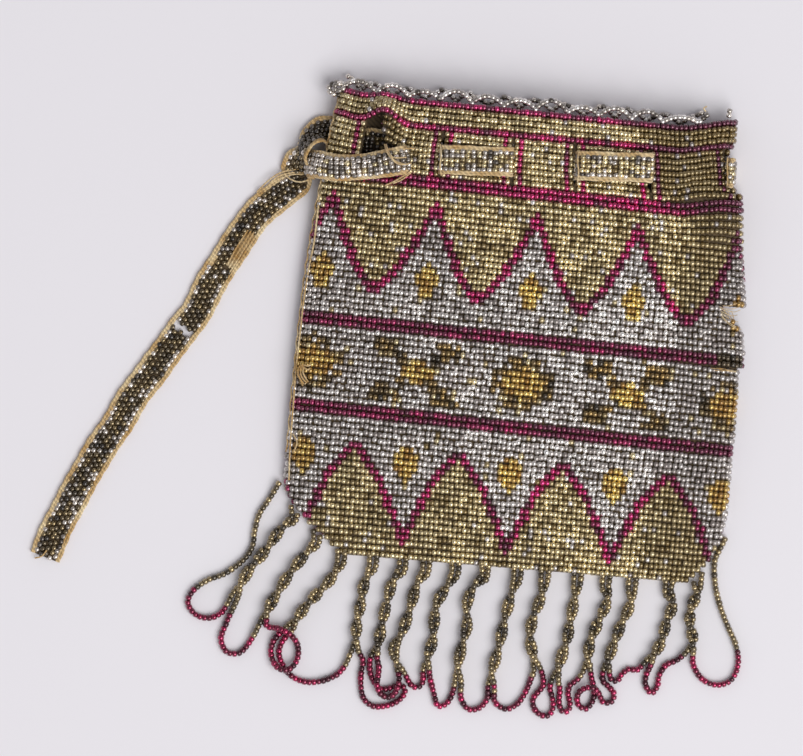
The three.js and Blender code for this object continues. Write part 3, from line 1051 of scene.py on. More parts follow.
@dataclass
class WovenBody:
    """The woven tube: beads on soiled cotton threads with painted shade, sewn up at the left side and the
    bottom.

    Tables hold rows and what the lie of the cloth has done to the weave there. The fan turns it by degrees,
    drift moves it towards the mouth, lean to the right, and sway its middle to the right. The curls move its
    ends towards the mouth, the bulge its folded side outwards, and the split parts its right ends from the
    stripe above. A span after a table holds the places along a row over which that sets in.

    Attributes:
        lining: How much deeper the threads of the back wall lie, where they close over the beads.
        pucker: Place, reach and height of the pucker above the double stripe, at the right.
        slit_edges: First row edge inside a slit and the one after its last.
        torn: Right end of the pulled-open slit at its top and at its bottom, as x.
        hump: Middle and half width of the weave that is raised above that slit, as x.
        hump_rise: How far it is raised towards the mouth, and upwards.
        lip: Left and right end of the rolled lip beside that slit, as x.
        tear_slant: Rows by which the tear's inner end lies above its opening.
        fold_shade_from: Places along the rows from which the film is darkened towards the folded side, as
            painted shade.
        handled: What handling has taken from the mouth row and the stripes at the right end.
        blotches: Level, length and step from row to row of the stripes' blotches.
        waves: Lengths along x and y and the phase of the cloth's waves.
    """

    pattern: WovenPattern
    finishes: Finishes
    bead: BeadShape = BeadShape(length=1.44, radius=0.96, rim=0.34, sides=8)
    back_bead: BeadShape = BeadShape(length=1.44, radius=0.96, rim=0.22, sides=6)
    bead_inset: float = 0.7
    ground_inset: float = 1.05
    lining: float = 0.65
    lining_columns: int = 2
    unevenness: float = 0.08
    silver_unevenness: float = 0.13
    tilt: float = 0.14
    silver_tilt: float = 0.24
    fan: Table = ((0, 4.5, 14, 38, 52, 72, 75), (-0.8, -0.3, -1.3, -1.05, -1.2, -0.3, 0.3))
    drift: Table = ((0, 4.5, 14, 38, 52, 75), (-0.65, -0.25, 0.35, 0.7, -0.15, 0))
    lean: Table = ((0, 20, 40, 75), (-1.2, -0.4, 0.0, 0.0))
    sway: Table = ((0, 10, 18, 32, 45, 52, 59.7, 68, 75), (0.0, 0.0, 1.4, 0.7, 0.6, -0.2, -0.9, -0.2, 0.0))
    sway_half: float = 68.0
    left_curl: Table = ((0, 4.5, 9, 14), (2.0, 2.6, 1.5, 0.0))
    left_curl_span: Span = (48.0, 64.0)
    right_curl: Table = ((0, 5, 14, 20), (3.4, 2.6, 2.9, 0.0))
    right_curl_span: Span = (43.0, 60.0)
    bulge: Table = (
        (0, 4, 5.5, 11, 12.7, 20, 28, 34, 38.6, 39.2, 44, 75),
        (2.2, 0.6, -2.0, -2.0, 1.0, 0.6, 1.4, 1.0, 1.5, 0.0, 0.2, 0.1),
    )
    bulge_span: Span = (36.0, 60.0)
    split: Table = ((38.8, 39.1, 47), (0.0, 0.4, 0.0))
    split_span: Span = (48.0, 62.0)
    pucker: Place = (50.0, 5.0, 0.9)
    pucker_rows: Place = (8.0, 12.5, 13.0)
    slit_open: float = 1.1
    slit_spread: float = 5.0
    slit_ease: tuple[Span, Span] = ((4.2, 5.5), (12.5, 13.8))
    slit_edges: tuple[int, int] = (6, 13)
    torn: Span = (-46.6, -39.4)
    torn_rows: Span = (5.0, 13.0)
    torn_step: Span = (8.0, 10.5)
    hump: Span = (-46.0, 4.6)
    hump_row: float = 4.5
    hump_at_mouth: float = 0.25
    hump_rise: Span = (4.1, 2.6)
    lip: Span = (-47.0, -39.6)
    lip_rows: Span = (5.0, 10.0)
    lip_roll: float = 2.4
    tear_row: float = 30.8
    tear_slant: float = 1.2
    tear_height: float = 8.8
    tear_depth: float = 7.6
    tear_flare: float = 0.2
    frayed_rows: float = 4.4
    fold_shade_from: Table = ((0.0, 10.5, 14.0, 75.0), (29.0, 30.0, 43.0, 40.0))
    fold_shade_depth: Table = ((0.0, 12.0, 26.0, 75.0), (0.95, 0.9, 0.65, 0.65))
    fold_shade_run: float = 9.0
    painted_side_light: float = 0.3
    handled: float = 0.65
    handled_span: Span = (48.0, 60.0)
    blotches: Place = (0.2, 6.0, 2.1)
    lip_shade_tone: float = 0.25
    frayed_tone: float = 0.15
    wave_height: float = 0.22
    waves: tuple[Place, ...] = ((9.0, 23.0, 0.0), (17.0, -11.0, 1.3), (31.0, 7.0, 0.7))
    calm_margin: float = 8.0
    chance: Chance = seeded(0)

    def settle(self, points: Array, rows: Array, columns: Array) -> Array:
        """Let the weave lie as the cloth does: fanned, shifted, spread at the slits and a little wavy.

        Args:
            points: Grid of points.
            rows: Rows of the grid.
            columns: Columns of the grid.

        Returns:
            The moved points.
        """
        moved = points.copy()
        row = rows[:, None]
        column = columns[None, :]
        facing = FORM.faces_front(column)
        opening, closing = self.slit_ease
        in_slots = smoothstep(row, *opening) * (1 - smoothstep(row, *closing))
        for slit in self.pattern.slits:
            on_front = FORM.faces_front(slit)
            past = (column - slit) * (1 if on_front else -1)
            push = np.sign(past) * np.exp(-np.abs(past) / self.slit_spread) * self.slit_open / 2
            moved[..., 0] += push * in_slots * (facing == on_front)
        x, y = moved[..., 0].copy(), moved[..., 1].copy()
        waves = sum(np.sin(x / along + y / across + phase) for along, across, phase in self.waves)
        calm = np.clip(1 - (x / (FORM.mouth_width / 2 + self.calm_margin)) ** 4, 0.0, 1.0)
        moved[..., 2] += self.wave_height * waves * calm * facing
        moved[..., 0] += self.shift(row, x)
        moved[..., 1] += self.rise(row, x)
        self.lift_torn_lip(moved, row, x, facing)
        return moved

    def shift(self, row: Value, x: Value) -> Value:
        """How far the cloth's lie has moved a place to the right.

        Args:
            row: Row of the place.
            x: Place along it.

        Returns:
            The distance.
        """
        swayed = np.interp(row, *self.sway) * np.clip(1 - (x / self.sway_half) ** 4, 0.0, 1.0)
        bulged = np.interp(row, *self.bulge) * smoothstep(x, *self.bulge_span)
        return np.interp(row, *self.lean) + swayed + bulged

    def rise(self, row: Value, x: Value) -> Value:
        """How far the cloth's lie has moved a place towards the mouth.

        Args:
            row: Row of the place.
            x: Place along it.

        Returns:
            The distance.
        """
        turned = x * np.tan(np.radians(np.interp(row, *self.fan)))
        left = np.interp(row, *self.left_curl) * smoothstep(-x, *self.left_curl_span)
        right = np.interp(row, *self.right_curl) * smoothstep(x, *self.right_curl_span)
        parted = np.interp(row, *self.split) * smoothstep(x, *self.split_span)
        middle, reach, lift = self.pucker
        first, full, last = self.pucker_rows
        above = smoothstep(row, first, full) * np.less(row, last)
        puckered = lift * np.exp(-(((x - middle) / reach) ** 2)) * above
        return np.interp(row, *self.drift) + turned + left + right + puckered - parted

    def lift_torn_lip(self, points: Array, row: Array, x: Array, facing: Array) -> None:
        """Raise the weave above the pulled-open slit towards the mouth, and roll its right lip inwards.

        Args:
            points: Grid of points, which is changed.
            row: Rows as a column.
            x: Places along the rows before settling.
            facing: Which columns are on the front.
        """
        hump = np.exp(-(((x - self.hump[0]) / self.hump[1]) ** 2)) * facing
        rising = self.hump_at_mouth + (1 - self.hump_at_mouth) * smoothstep(row, 0.0, self.hump_row)
        upper = rising * (1 - smoothstep(row, *self.torn_rows))
        points[..., 1] += self.hump_rise[0] * hump * upper
        points[..., 2] += self.hump_rise[1] * hump * upper
        points[..., 2] -= self.lip_roll * self.on_lip(row, x, facing) * (1 - smoothstep(x, *self.lip))

    def on_lip(self, row: Array, x: Array, facing: Array) -> Array:
        """Which places belong to the rolled lip beside the pulled-open slit."""
        in_rows = (row > self.lip_rows[0]) & (row < self.lip_rows[1])
        return facing & in_rows & (x > self.lip[0]) & (x < self.lip[1])

    def present(self, points: Array, rows: Array, columns: Array) -> Array:
        """Which beads the slits and the tear leave in place.

        Args:
            points: Grid of points before settling.
            rows: Rows of the grid.
            columns: Columns of the grid.

        Returns:
            A grid that says where there is a bead.
        """
        row = rows[:, None]
        facing = FORM.faces_front(columns)[None, :]
        x = points[..., 0]
        right = self.torn[0] + (self.torn[1] - self.torn[0]) * smoothstep(row, *self.torn_step)
        within = (row > self.torn_rows[0]) & (row < self.torn_rows[1])
        hole = facing & within & (columns[None, :] > self.pattern.torn_slit) & (x < right)
        edge = FORM.half_widths(self.tear_row)[1]
        deep = np.clip((x - edge + self.tear_depth) / self.tear_depth, 0.0, 1 + self.tear_flare)
        away = np.abs(points[..., 1] - FORM.row_y(self.tear_row + self.tear_slant * (deep - 1)))
        notch = (x > edge - self.tear_depth) & (away < deep * self.tear_height / 2)
        return ~(hole | notch)

    def grid(self) -> tuple[Array, Array]:
        """Rows and columns of the beads."""
        half = FORM.tube_columns // 2
        return np.arange(FORM.row_count), np.arange(-half, half)

    def build(self) -> None:
        """Model and dress the tube: the ground sheet, then the beads by wall and finish."""
        rows, columns = self.grid()
        flat, standing = FORM.surface(rows + 0.5, columns.astype(float), self.bead_inset)
        kept = standing & self.present(flat, rows + 0.5, columns)
        places = self.settle(flat, rows + 0.5, columns.astype(float))
        hues = self.pattern.hues(rows[:, None], columns[None, :])
        hues = self.pattern.with_strays(hues, rows[:, None], columns[None, :], self.chance)
        silver = hues == Hue.SILVER
        wander = np.where(silver, self.silver_unevenness, self.unevenness)[..., None]
        places += self.chance.normal(0.0, wander, places.shape)
        places[..., 2] = np.maximum(places[..., 2], RESTING * self.bead.radius)
        weft = unit(np.gradient(places, axis=1))
        warp = unit(np.gradient(places, axis=0))
        normals = unit(np.cross(warp, weft))
        tilt = np.where(silver, self.silver_tilt, self.tilt).reshape(-1, 1)
        lay = BeadLay.scatter(*(part.reshape(-1, 3) for part in (places, weft, normals)), hues.ravel(),
                              self.chance, tilt)
        self.wear_and_shade(lay, flat[..., 0], rows, columns)
        pieces = [self.ground(kept)]
        facing = np.broadcast_to(FORM.faces_front(columns + 0.5), hues.shape)
        for wall, mask in ((Side.FRONT, facing), (Side.BACK, ~facing)):
            for hue in Hue:
                part = lay.pick((kept & mask & (hues == hue)).ravel())
                part.finishes = np.zeros(len(part.places), int)
                name = f"{wall.value}_{hue.name.lower()}_beads"
                shape = self.bead if wall is Side.FRONT else self.back_bead
                pieces.append(part.stamp(name, shape, [self.finishes.woven[hue]]))
        for piece in pieces:
            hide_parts("woven_body")

    def wear_and_shade(self, lay: BeadLay, x: Array, rows: Array, columns: Array) -> None:
        """Dull the handled film, paint light to the right and shade by the fold and lip, and darken it by the
        tear.

        Args:
            lay: The beads, whose tones are changed.
            x: Places along the rows before settling.
            rows: Rows of the grid.
            columns: Columns of the grid.
        """
        row = rows[:, None]
        handled = 1 - self.handled * smoothstep(x, *self.handled_span)
        low, length, step = self.blotches
        blotches = low + low * (1 + np.sin(x / length + step * row))
        # Painted light: the film is made brighter towards the right, where the key light is, and darker to
        # the left.
        level = 1 + self.painted_side_light * x / FORM.mouth_width * 2
        # Painted shade: the film darkens towards the folded side, where the cloth turns down away from the
        # light.
        start = np.interp(row, *self.fold_shade_from)
        level = level * (1 - np.interp(row, *self.fold_shade_depth) * smoothstep(x, start, start + self.fold_shade_run))
        level = np.where(row == 0, level * handled, level)
        stripes = np.isin(row, self.pattern.upper_stripe + self.pattern.lower_stripe)
        level = np.where(stripes, blotches * handled, level)
        # Painted shade: the rolled lip beside the pulled-open slit is darkened.
        level = np.where(self.on_lip(row + 0.5, x, FORM.faces_front(columns)), self.lip_shade_tone, level)
        beside = x > FORM.half_widths(self.tear_row)[1] - self.tear_depth
        beside &= np.abs(row + 0.5 - self.tear_row) < self.frayed_rows
        level = np.where(beside, self.frayed_tone, level)
        lay.tones *= level.ravel()
        np.clip(lay.tones, 0.0, 1.0, out=lay.tones)

    def ground(self, kept: Array) -> Piece:
        """The cotton threads that carry the beads, as one sheet with the slits and tears in it.

        Args:
            kept: Grid that says where there is a bead.

        Returns:
            The piece.
        """
        rows, columns = self.grid()
        row_edges = np.arange(len(rows) + 1).astype(float)
        column_edges = np.append(columns, columns[-1] + 1) - 0.5
        column_edges[[0, -1]] = (columns[0], -columns[0])
        flat, _ = FORM.surface(row_edges, column_edges, self.ground_inset)
        points = self.settle(flat, row_edges, column_edges)
        behind = np.abs(column_edges) > FORM.tube_columns / 4 + self.lining_columns
        points[..., 2] += self.lining * behind
        points[..., 2] = np.maximum(points[..., 2], self.bead.radius + self.ground_inset - self.bead_inset)
        grid = lay_grid(points)
        grid.faces.ensure_lookup_table()
        wide = len(columns) + 1
        gone = []
        for face in grid.faces:
            first = min(vert.index for vert in face.verts)
            if not kept[first // wide, first % wide]:
                gone.append(face)
        bmesh.ops.delete(grid, geom=gone, context="FACES")
        lips = [int(np.argmin(np.abs(column_edges - slit))) for slit in self.pattern.slits]
        self.part_slits(grid, points[slice(*self.slit_edges), lips].reshape(-1, 3))
        bmesh.ops.reverse_faces(grid, faces=grid.faces)
        for face in grid.faces:
            face.smooth = True
        return add_piece("woven_ground", mesh_of(grid, "woven_ground"), [self.finishes.ground])

    def part_slits(self, grid: Shape, line: Array) -> None:
        """Part the ground along the slits and draw their lips apart.

        Args:
            grid: The ground, which is changed.
            line: Points of the slits.
        """

        def key(point: Iterable[float]) -> tuple[float, ...]:
            """A place in metres, rounded so that it can be compared."""
            return tuple(round(value, KEY_DIGITS) for value in point)

        keys = {key(point) for point in line * METRE}
        near = {vert for vert in grid.verts if key(vert.co) in keys}
        edges = [edge for edge in grid.edges if edge.verts[0] in near and edge.verts[1] in near]
        bmesh.ops.split_edges(grid, edges=edges)
        for vert in grid.verts:
            if len(vert.link_faces) == 2 and key(vert.co) in keys:
                middle = sum(face.calc_center_median().x for face in vert.link_faces) / 2
                vert.co.x += math.copysign(self.slit_open / 2 * METRE, middle - vert.co.x)


@dataclass
class PicotEdging:
    """The scalloped bead strings along both lips of the mouth.

    Attributes:
        unevenness: Spread of the scallops' heights, and its step from one to the next.
        loose_loop: Pixels of the loop that hangs past the left end of the front lip.
        loose_end: Pixels of the beads that are left standing at the right end.
    """

    body: WovenBody
    finishes: Finishes
    scallops: int = 12
    scallop_points: int = 16
    rise: float = 2.6
    crown: float = 0.5
    roundness: float = 0.8
    foot: float = 0.35
    end_gap: float = 1.0
    unevenness: Span = (0.22, 2.4)
    back_phase: Span = (0.5, 1.1)
    steel_share: float = 0.55
    step: float = 0.4
    bead: BeadShape = BeadShape(length=1.38, radius=0.84, rim=0.26, sides=8)
    pitch: float = 1.4
    loose_loop: Line = (
        (345, 93), (338, 95), (331, 93), (329, 88), (333, 84), (340, 83), (345, 86, 0.8), (341, 90.5, 1.5),
        (335, 90, 1.5), (335, 86, 1.2), (341, 84, 0.8), (347, 86),
    )
    loop_beads: int = 14
    loose_height: float = 6.0
    last_x: float = 51.2
    loose_end: Line = ((728, 118), (729, 114), (729.5, 109))
    chance: Chance = seeded(1)

    def line(self, side: Side) -> Array:
        """The string's line along one lip.

        Args:
            side: Which lip.

        Returns:
            Points along the string.
        """
        left, right, _ = FORM.half_widths(0.0)
        steps = np.linspace(0.0, self.scallops, self.scallops * self.scallop_points + 1)
        phase, beat = (0.0, 0.0) if side is Side.FRONT else self.back_phase
        swing = np.abs(np.sin(math.pi * (steps + phase)))
        spread, stride = self.unevenness
        uneven = 1 + spread * np.sin(steps.astype(int) * stride + beat)
        x = -left + self.end_gap + (left + right - 2 * self.end_gap) * steps / self.scallops
        inwards = -FORM.wall / 2 if side is Side.FRONT else FORM.wall / 2
        z = np.array([FORM.wall_height(side, place, FORM.mouth_y) for place in x]) + inwards
        y = FORM.mouth_y + self.foot + self.rise * swing**self.roundness * uneven
        moved = (x + self.body.shift(0.0, x), y + self.body.rise(0.0, x), z + self.crown * swing)
        lip = np.column_stack(moved)[x < self.last_x]
        if side is Side.BACK:
            return lip
        loop = smooth_line(PHOTO.place(self.loose_loop, self.loose_height), self.step)
        return np.vstack((loop, lip))

    def mixed(self, count: int) -> Array:
        """Material numbers of a string of steel and silver beads."""
        return (self.chance.random(count) > self.steel_share).astype(int)

    def looped(self, count: int) -> Array:
        """Material numbers of a string that starts with the dark loop."""
        return np.where(np.arange(count) < self.loop_beads, 0, self.mixed(count))

    def build(self) -> None:
        """String both edgings, and the beads that are left standing."""
        for side in Side:
            piece = string_beads(f"{side.value}_picot_beads", self.line(side), self.bead, self.pitch,
                                 [self.finishes.steel, self.finishes.woven[Hue.SILVER]], self.chance,
                                 self.mixed if side is Side.BACK else self.looped)
            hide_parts(f"{side.value}_picot_edging")
        end = smooth_line(PHOTO.place(self.loose_end, self.loose_height), self.step)
        left_over = string_beads("loose_picot_beads", end, self.bead, self.pitch, [self.finishes.steel],
                                 self.chance, lambda count: np.zeros(count, int))


def string_beads(name: str, line: Array, bead: BeadShape, pitch: float, materials: Sequence[Material],
                 chance: Chance, finish: Callable[[int], Array]) -> Piece:
    """Thread beads on a line.

    Args:
        name: Name of the piece.
        line: Points of the line, close together.
        bead: The bead.
        pitch: Distance between beads.
        materials: Finishes.
        chance: Seeded random source.
        finish: Function from the number of beads to their material numbers.

    Returns:
        The piece.
    """
    run = run_along(line)
    places = resample(line, run, np.linspace(pitch / 2, run[-1] - pitch / 2, max(2, round(run[-1] / pitch))))
    axes = unit(np.gradient(places, axis=0))
    normals = np.broadcast_to((0.0, 0.0, 1.0), places.shape)
    lay = BeadLay.scatter(places, axes, normals, finish(len(places)), chance, tilt=STRUNG_TILT)
    return lay.stamp(name, bead, materials)


@dataclass
class DrawString:
    """The beaded strap: laced through the slits all round, half-knotted at the left, with a long free tail.

    Attributes:
        roll: Places along the front and the half angle that the strap is rolled to there, in radians.
        front_line: Places along the front and the strap's middle there.
        hump: Given points of the hump behind the knot, each with the tilt of the strap in degrees.
        worn_patches: Pixels between which beads are gone, and the first and last bead row that is missing.
        crown: Share of a rolled strap's height that lies above its line.
        shaded_corner: Left of this x and above this y the strap lies behind the knot, darkened as painted
            shade.
        tail_stagger: How far every other bead row of the tail has slipped, as a share of a station.
        wander: Reach, step and phase of the threads' wandering.
        twist: How far apart the two plies lie, and the reach and step of their twist.
    """

    finishes: Finishes
    width: float = 9.8
    squeeze: float = 0.93
    roll: Table = ((-70.0, -62.0, -48.0, -34.0), (0.35, 0.9, 1.0, 0.0))
    dive: float = 2.0
    clear: float = 1.2
    floor_gap: float = 0.15
    torn_crossing: float = -38.6
    front_line: Table = (
        (-63.0, -53.0, -42.5, -39.0, -28.8, -6.0, 13.0, 35.8, 60.0),
        (43.6, 44.9, 47.8, 48.6, 49.5, 50.7, 51.3, 52.6, 53.2),
    )
    back_y: float = 52.9
    end: tuple[Place, ...] = (
        (-66.0, 44.6, 2.9), (-67.9, 44.8, 3.3), (-68.7, 45.0, 5.0), (-67.4, 45.0, 7.6),
        (-64.4, 44.7, 10.2), (-60.6, 44.3, 12.0),
    )
    hump: tuple[tuple[float, float, float, float], ...] = (
        (-52.0, 53.0, 1.05, 0.0), (-56.5, 54.2, 1.1, 0.0), (-61.0, 55.0, 1.6, 5.0), (-65.0, 55.3, 3.1, 25.0),
        (-68.0, 53.7, 4.9, 50.0), (-69.9, 51.2, 5.6, 62.0), (-71.0, 48.0, 5.6, 68.0),
        (-71.7, 45.2, 3.7, 30.0), (-72.2, 42.8, 1.9, 12.0),
    )
    tail: Line = (
        (297, 180), (280, 195), (259, 212), (242, 235), (227, 258), (210, 285), (196, 313), (184, 328),
        (168, 350), (152, 372), (133, 397), (118, 423), (101, 448), (84, 477), (69, 505),
        (55, 532), (45, 557),
    )
    window: Pixel = (184, 328)
    window_length: float = 3.0
    worn_patches: tuple[tuple[Pixel, Pixel, int, int], ...] = (
        ((246, 226), (224, 264), 0, 1), ((228, 258), (220, 271), 4, 4),
    )
    fold_out: float = 60.6
    fold_start: Span = (0.2, 0.35)
    crown: float = 0.62
    silvered: float = 40.0
    shaded_corner: Span = (-44.0, 49.0)
    shade_tone: float = 0.12
    edge_steel: float = 0.65
    laced_steel: float = 0.35
    tail_steel: float = 0.14
    silvered_steel: float = 0.8
    tail_stagger: float = 0.5
    band_columns: int = 6
    bead: BeadShape = BeadShape(length=1.34, radius=0.86, rim=0.26, sides=8)
    bead_rows: int = 5
    row_pitch: float = 1.44
    station: float = 1.68
    unevenness: float = 0.12
    tilt: float = 0.22
    selvedge: float = 0.85
    ply: float = 0.46
    wander: Place = (0.08, 0.37, 2.0)
    twist: Place = (0.34, 0.1, 1.3)
    step: float = 0.9
    path_step: float = 4.0
    chance: Chance = seeded(2)

    def middle_y(self, side: Side, x: float) -> float:
        """Y of the strap's middle on a wall."""
        return float(np.interp(x, *self.front_line)) if side is Side.FRONT else self.back_y

    def over(self, side: Side, outside: bool, x: float) -> Place:
        """A point of the strap where it runs over or under a wall.

        Args:
            side: Which wall.
            outside: Whether it runs outside the pouch.
            x: Place along the wall.

        Returns:
            The point.
        """
        y = self.middle_y(side, x)
        inset = 0.0 if outside else FORM.wall
        levels = [FORM.wall_height(side, x, y + share * self.width, inset) for share in (-0.5, 0.0, 0.5)]
        above = (side is Side.FRONT) == outside
        level = max(levels) + self.clear if above else min(levels) - self.clear
        return x, y, max(level, self.floor_gap + self.bead.radius)

    def crossing(self, slit: int, side: Side) -> float:
        """X at which the strap goes through a slit."""
        torn = slit == 0 and side is Side.FRONT
        return self.torn_crossing if torn else SLIT_PLACES[slit] - SLIT_LEANS[slit]

    def lacing(self, side: Side) -> list[Place]:
        """One run of lacing, in the order of travel.

        Args:
            side: Which wall; the front is laced to the right and the back to the left.

        Returns:
            Points of the run.
        """
        heading = 1 if side is Side.FRONT else -1
        slits = list(range(len(SLIT_PLACES)))[::heading]
        points = []
        outside = True
        for place, slit in enumerate(slits):
            x = self.crossing(slit, side)
            before, after = x - heading * self.dive / 2, x + heading * self.dive / 2
            points.append(self.over(side, outside, before))
            outside = not outside
            points.append(self.over(side, outside, after))
            if place + 1 < len(slits):
                points.append(self.over(side, outside, (after + self.crossing(slits[place + 1], side)) / 2))
        return points

    def fold_turn(self) -> list[Place]:
        """The turn round the folded right side.

        Returns:
            Two points of the turn.
        """
        _, front, fold = FORM.heights(STRAP_ROW + self.width / 2 / FORM.row_pitch)
        y = self.middle_y(Side.FRONT, self.fold_out)
        inwards, share = self.fold_start
        return [(self.fold_out - inwards, y, fold + share * (front - fold)), (self.fold_out, y, fold)]

    def route(self) -> tuple[Array, Array]:
        """The whole route, with how the strap lies at each point.

        Returns:
            The laced and the free part: x, y, z, the width's direction, its share and its roll in each row.
        """
        shoulder = (FORM.half_widths(STRAP_ROW)[0] - self.torn_crossing) / -2
        back = self.lacing(Side.BACK)
        laced = [*self.end, self.over(Side.FRONT, True, shoulder), *self.lacing(Side.FRONT)]
        laced += [*self.fold_turn(), *back]
        hump = np.array(self.hump)
        tail = PHOTO.place(self.tail, self.floor_gap + self.bead.radius)
        points = np.vstack((laced, hump[:, :3], tail))
        along = unit(np.gradient(points, axis=0))
        up = np.array([0.0, 0.0, 1.0])
        tilt = np.radians(np.concatenate((hump[:, 3], np.zeros(len(tail)))))[:, None]
        free = np.arange(len(points)) >= len(laced)
        across = np.tile((0.0, 1.0, 0.0), (len(points), 1))
        across[free] = unit(np.cross(along[free], up)) * np.cos(tilt) - up * np.sin(tilt)
        across = unit(across - (across * along).sum(1, keepdims=True) * along)
        share = np.where(free, 1.0, self.squeeze)
        roll = np.interp(points[:, 0], *self.roll)
        roll[len(laced) - len(back):] = 0.0
        both = np.column_stack((points, across, share, roll))
        return both[:len(laced) + 1], both[len(laced):]

    def spread(self, line: Array, offsets: Array) -> tuple[Array, Array, Array]:
        """Places across the strap, which is rolled where it is gathered.

        Args:
            line: The strap's line, with how it lies.
            offsets: Distances from its middle on the flat strap, one for all stations or one for each.

        Returns:
            Places, directions of the width and directions out of the face, by station and offset.
        """
        along = unit(np.gradient(line[:, :3], axis=0))
        across = unit(line[:, 3:6])
        out = np.cross(along, across)
        half_angle = np.maximum(line[:, 7:8], 1e-3)
        radius = self.width / 2 / half_angle
        turn = np.broadcast_to(offsets, (len(line), np.shape(offsets)[-1])) / radius
        sideways = (radius * np.sin(turn) * line[:, 6:7])[..., None]
        crown = (radius * (np.cos(turn) - 1 + self.crown * (1 - np.cos(half_angle))))[..., None]
        places = line[:, None, :3] + sideways * across[:, None, :] + crown * out[:, None, :]
        cosine, sine = np.cos(turn)[..., None], np.sin(turn)[..., None]
        return (places, across[:, None, :] * cosine - out[:, None, :] * sine,
                out[:, None, :] * cosine + across[:, None, :] * sine)

    def band(self, name: str, line: Array, window: Span | None = None,
             bare: Sequence[Stretch] = ()) -> Piece:
        """The cotton band under the beads.

        Args:
            name: Name of the piece.
            line: The strap's line, with how it lies.
            window: Stretch where the band is open between its edges: from and to.
            bare: Stretches where clean cotton shows: from, to, and the first and last bead row missing.

        Returns:
            The piece.
        """
        reach = self.width / 2 - self.selvedge
        grid = lay_grid(self.spread(line, np.linspace(-reach, reach, self.band_columns))[0])
        run = run_along(line)
        opened = []
        for face in grid.faces:
            face.smooth = True
            station, column = divmod(min(vert.index for vert in face.verts), self.band_columns)
            at = run[station]
            if window and window[0] < at < window[1]:
                opened.append(face)
            if any(start < at < stop and first <= column <= last for start, stop, first, last in bare):
                face.material_index = 1
        bmesh.ops.delete(grid, geom=opened, context="FACES")
        return add_piece(name, mesh_of(grid, name), [self.finishes.ground, self.finishes.cotton])

    def beads(self, name: str, line: Array, body: Material, steel: float,
              bare: Sequence[Stretch] = (), silvered: float = 0.0,
              stagger: float = 0.0) -> Piece:
        """The strap's beads: steel along both edges and darker ones between.

        Args:
            name: Name of the piece.
            line: The strap's line, with how it lies.
            body: Finish of the beads between the edges.
            steel: Share of steel beads among them.
            bare: Stretches without beads: from, to, and the first and last bead row that is missing.
            silvered: Length from the start that is woven from steel beads.
            stagger: How far every other bead row has slipped along, as a share of a bead's station.

        Returns:
            The piece.
        """
        run = run_along(line)
        stations = np.arange(self.station / 2, run[-1], self.station)
        at = resample(line, run, stations)
        number = np.arange(self.bead_rows)
        places, axes, normals = self.spread(at, (number - (self.bead_rows - 1) / 2) * self.row_pitch)
        along = unit(np.gradient(at[:, :3], axis=0))[:, None, :]
        places = places + along * np.where(number % 2 == 1, self.station * stagger, 0.0)[None, :, None]
        places += self.chance.normal(0.0, self.unevenness, places.shape)
        places[..., 2] = np.maximum(places[..., 2], RESTING * self.bead.radius)
        kept = np.ones(places.shape[:2], bool)
        for start, stop, first, last in bare:
            within = (stations[:, None] > start) & (stations[:, None] < stop)
            kept &= ~(within & (number[None, :] >= first) & (number[None, :] <= last))
        edge = np.broadcast_to((number == 0) | (number == self.bead_rows - 1), kept.shape)
        mixed = edge & (self.chance.random(kept.shape) < self.edge_steel)
        mixed |= self.chance.random(kept.shape) < steel
        mixed |= (stations[:, None] < silvered) & (self.chance.random(kept.shape) < self.silvered_steel)
        lay = BeadLay.scatter(*(part.reshape(-1, 3) for part in (places, axes, normals)),
                              mixed.astype(int).ravel(), self.chance, self.tilt)
        # Painted shade: the strap's beads behind the knot and inside the pouch are darkened.
        shaded_beads = (places[..., 0] < self.shaded_corner[0]) & (places[..., 1] > self.shaded_corner[1])
        lay.tones[shaded_beads.ravel()] *= self.shade_tone
        return lay.pick(kept.ravel()).stamp(name, self.bead, [body, self.finishes.steel])

    def selvedges(self, name: str, line: Array) -> Piece:
        """The two-ply cream threads along both edges.

        Args:
            name: Name of the piece.
            line: The strap's line, with how it lies.

        Returns:
            The piece.
        """
        run = np.arange(len(line))
        sway, stride, shift = self.wander
        apart, turn, pace = self.twist
        edges = []
        for sign in (-1, 1):
            for ply in (0.0, math.pi):
                wander = sway * np.sin(run * stride + shift * sign)
                twist = apart * math.cos(ply) + turn * np.sin(run * pace + ply)
                reach = sign * (self.width / 2 - self.selvedge) + wander + twist
                edges.append(self.spread(line, reach[:, None])[0][:, 0])
        return add_thread(name, edges, self.ply, self.finishes.cotton)

    def build(self) -> None:
        """Model and dress the strap."""
        laced, free = (smooth_line(part, self.step) for part in self.route())
        at_window = self.run_to(free, self.window)
        half = self.window_length / 2
        window = (at_window - half, at_window + half)
        worn = [(self.run_to(free, start), self.run_to(free, stop), first, last)
                for start, stop, first, last in self.worn_patches]
        band = self.band("strap_tail_band", free, window, worn)
        pieces = [
            band,
            self.beads("strap_tail_beads", free, self.finishes.bronze, self.tail_steel,
                       [(*window, 0, self.bead_rows - 1), *worn], stagger=self.tail_stagger),
            self.selvedges("strap_tail_selvedges", free),
            self.band("strap_laced_band", laced),
            self.beads("strap_laced_beads", laced, self.finishes.woven[Hue.KHAKI], self.laced_steel,
                       silvered=self.silvered),
            self.selvedges("strap_laced_selvedges", laced),
        ]
        for piece in pieces:
            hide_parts("drawstring_strap")

    def run_to(self, line: Array, pixel: Pixel) -> float:
        """Length along a line up to the place nearest a pixel."""
        away = np.linalg.norm(line[:, :2] - PHOTO.place([pixel])[0, :2], axis=1)
        return line_length(line[:int(np.argmin(away)) + 1])


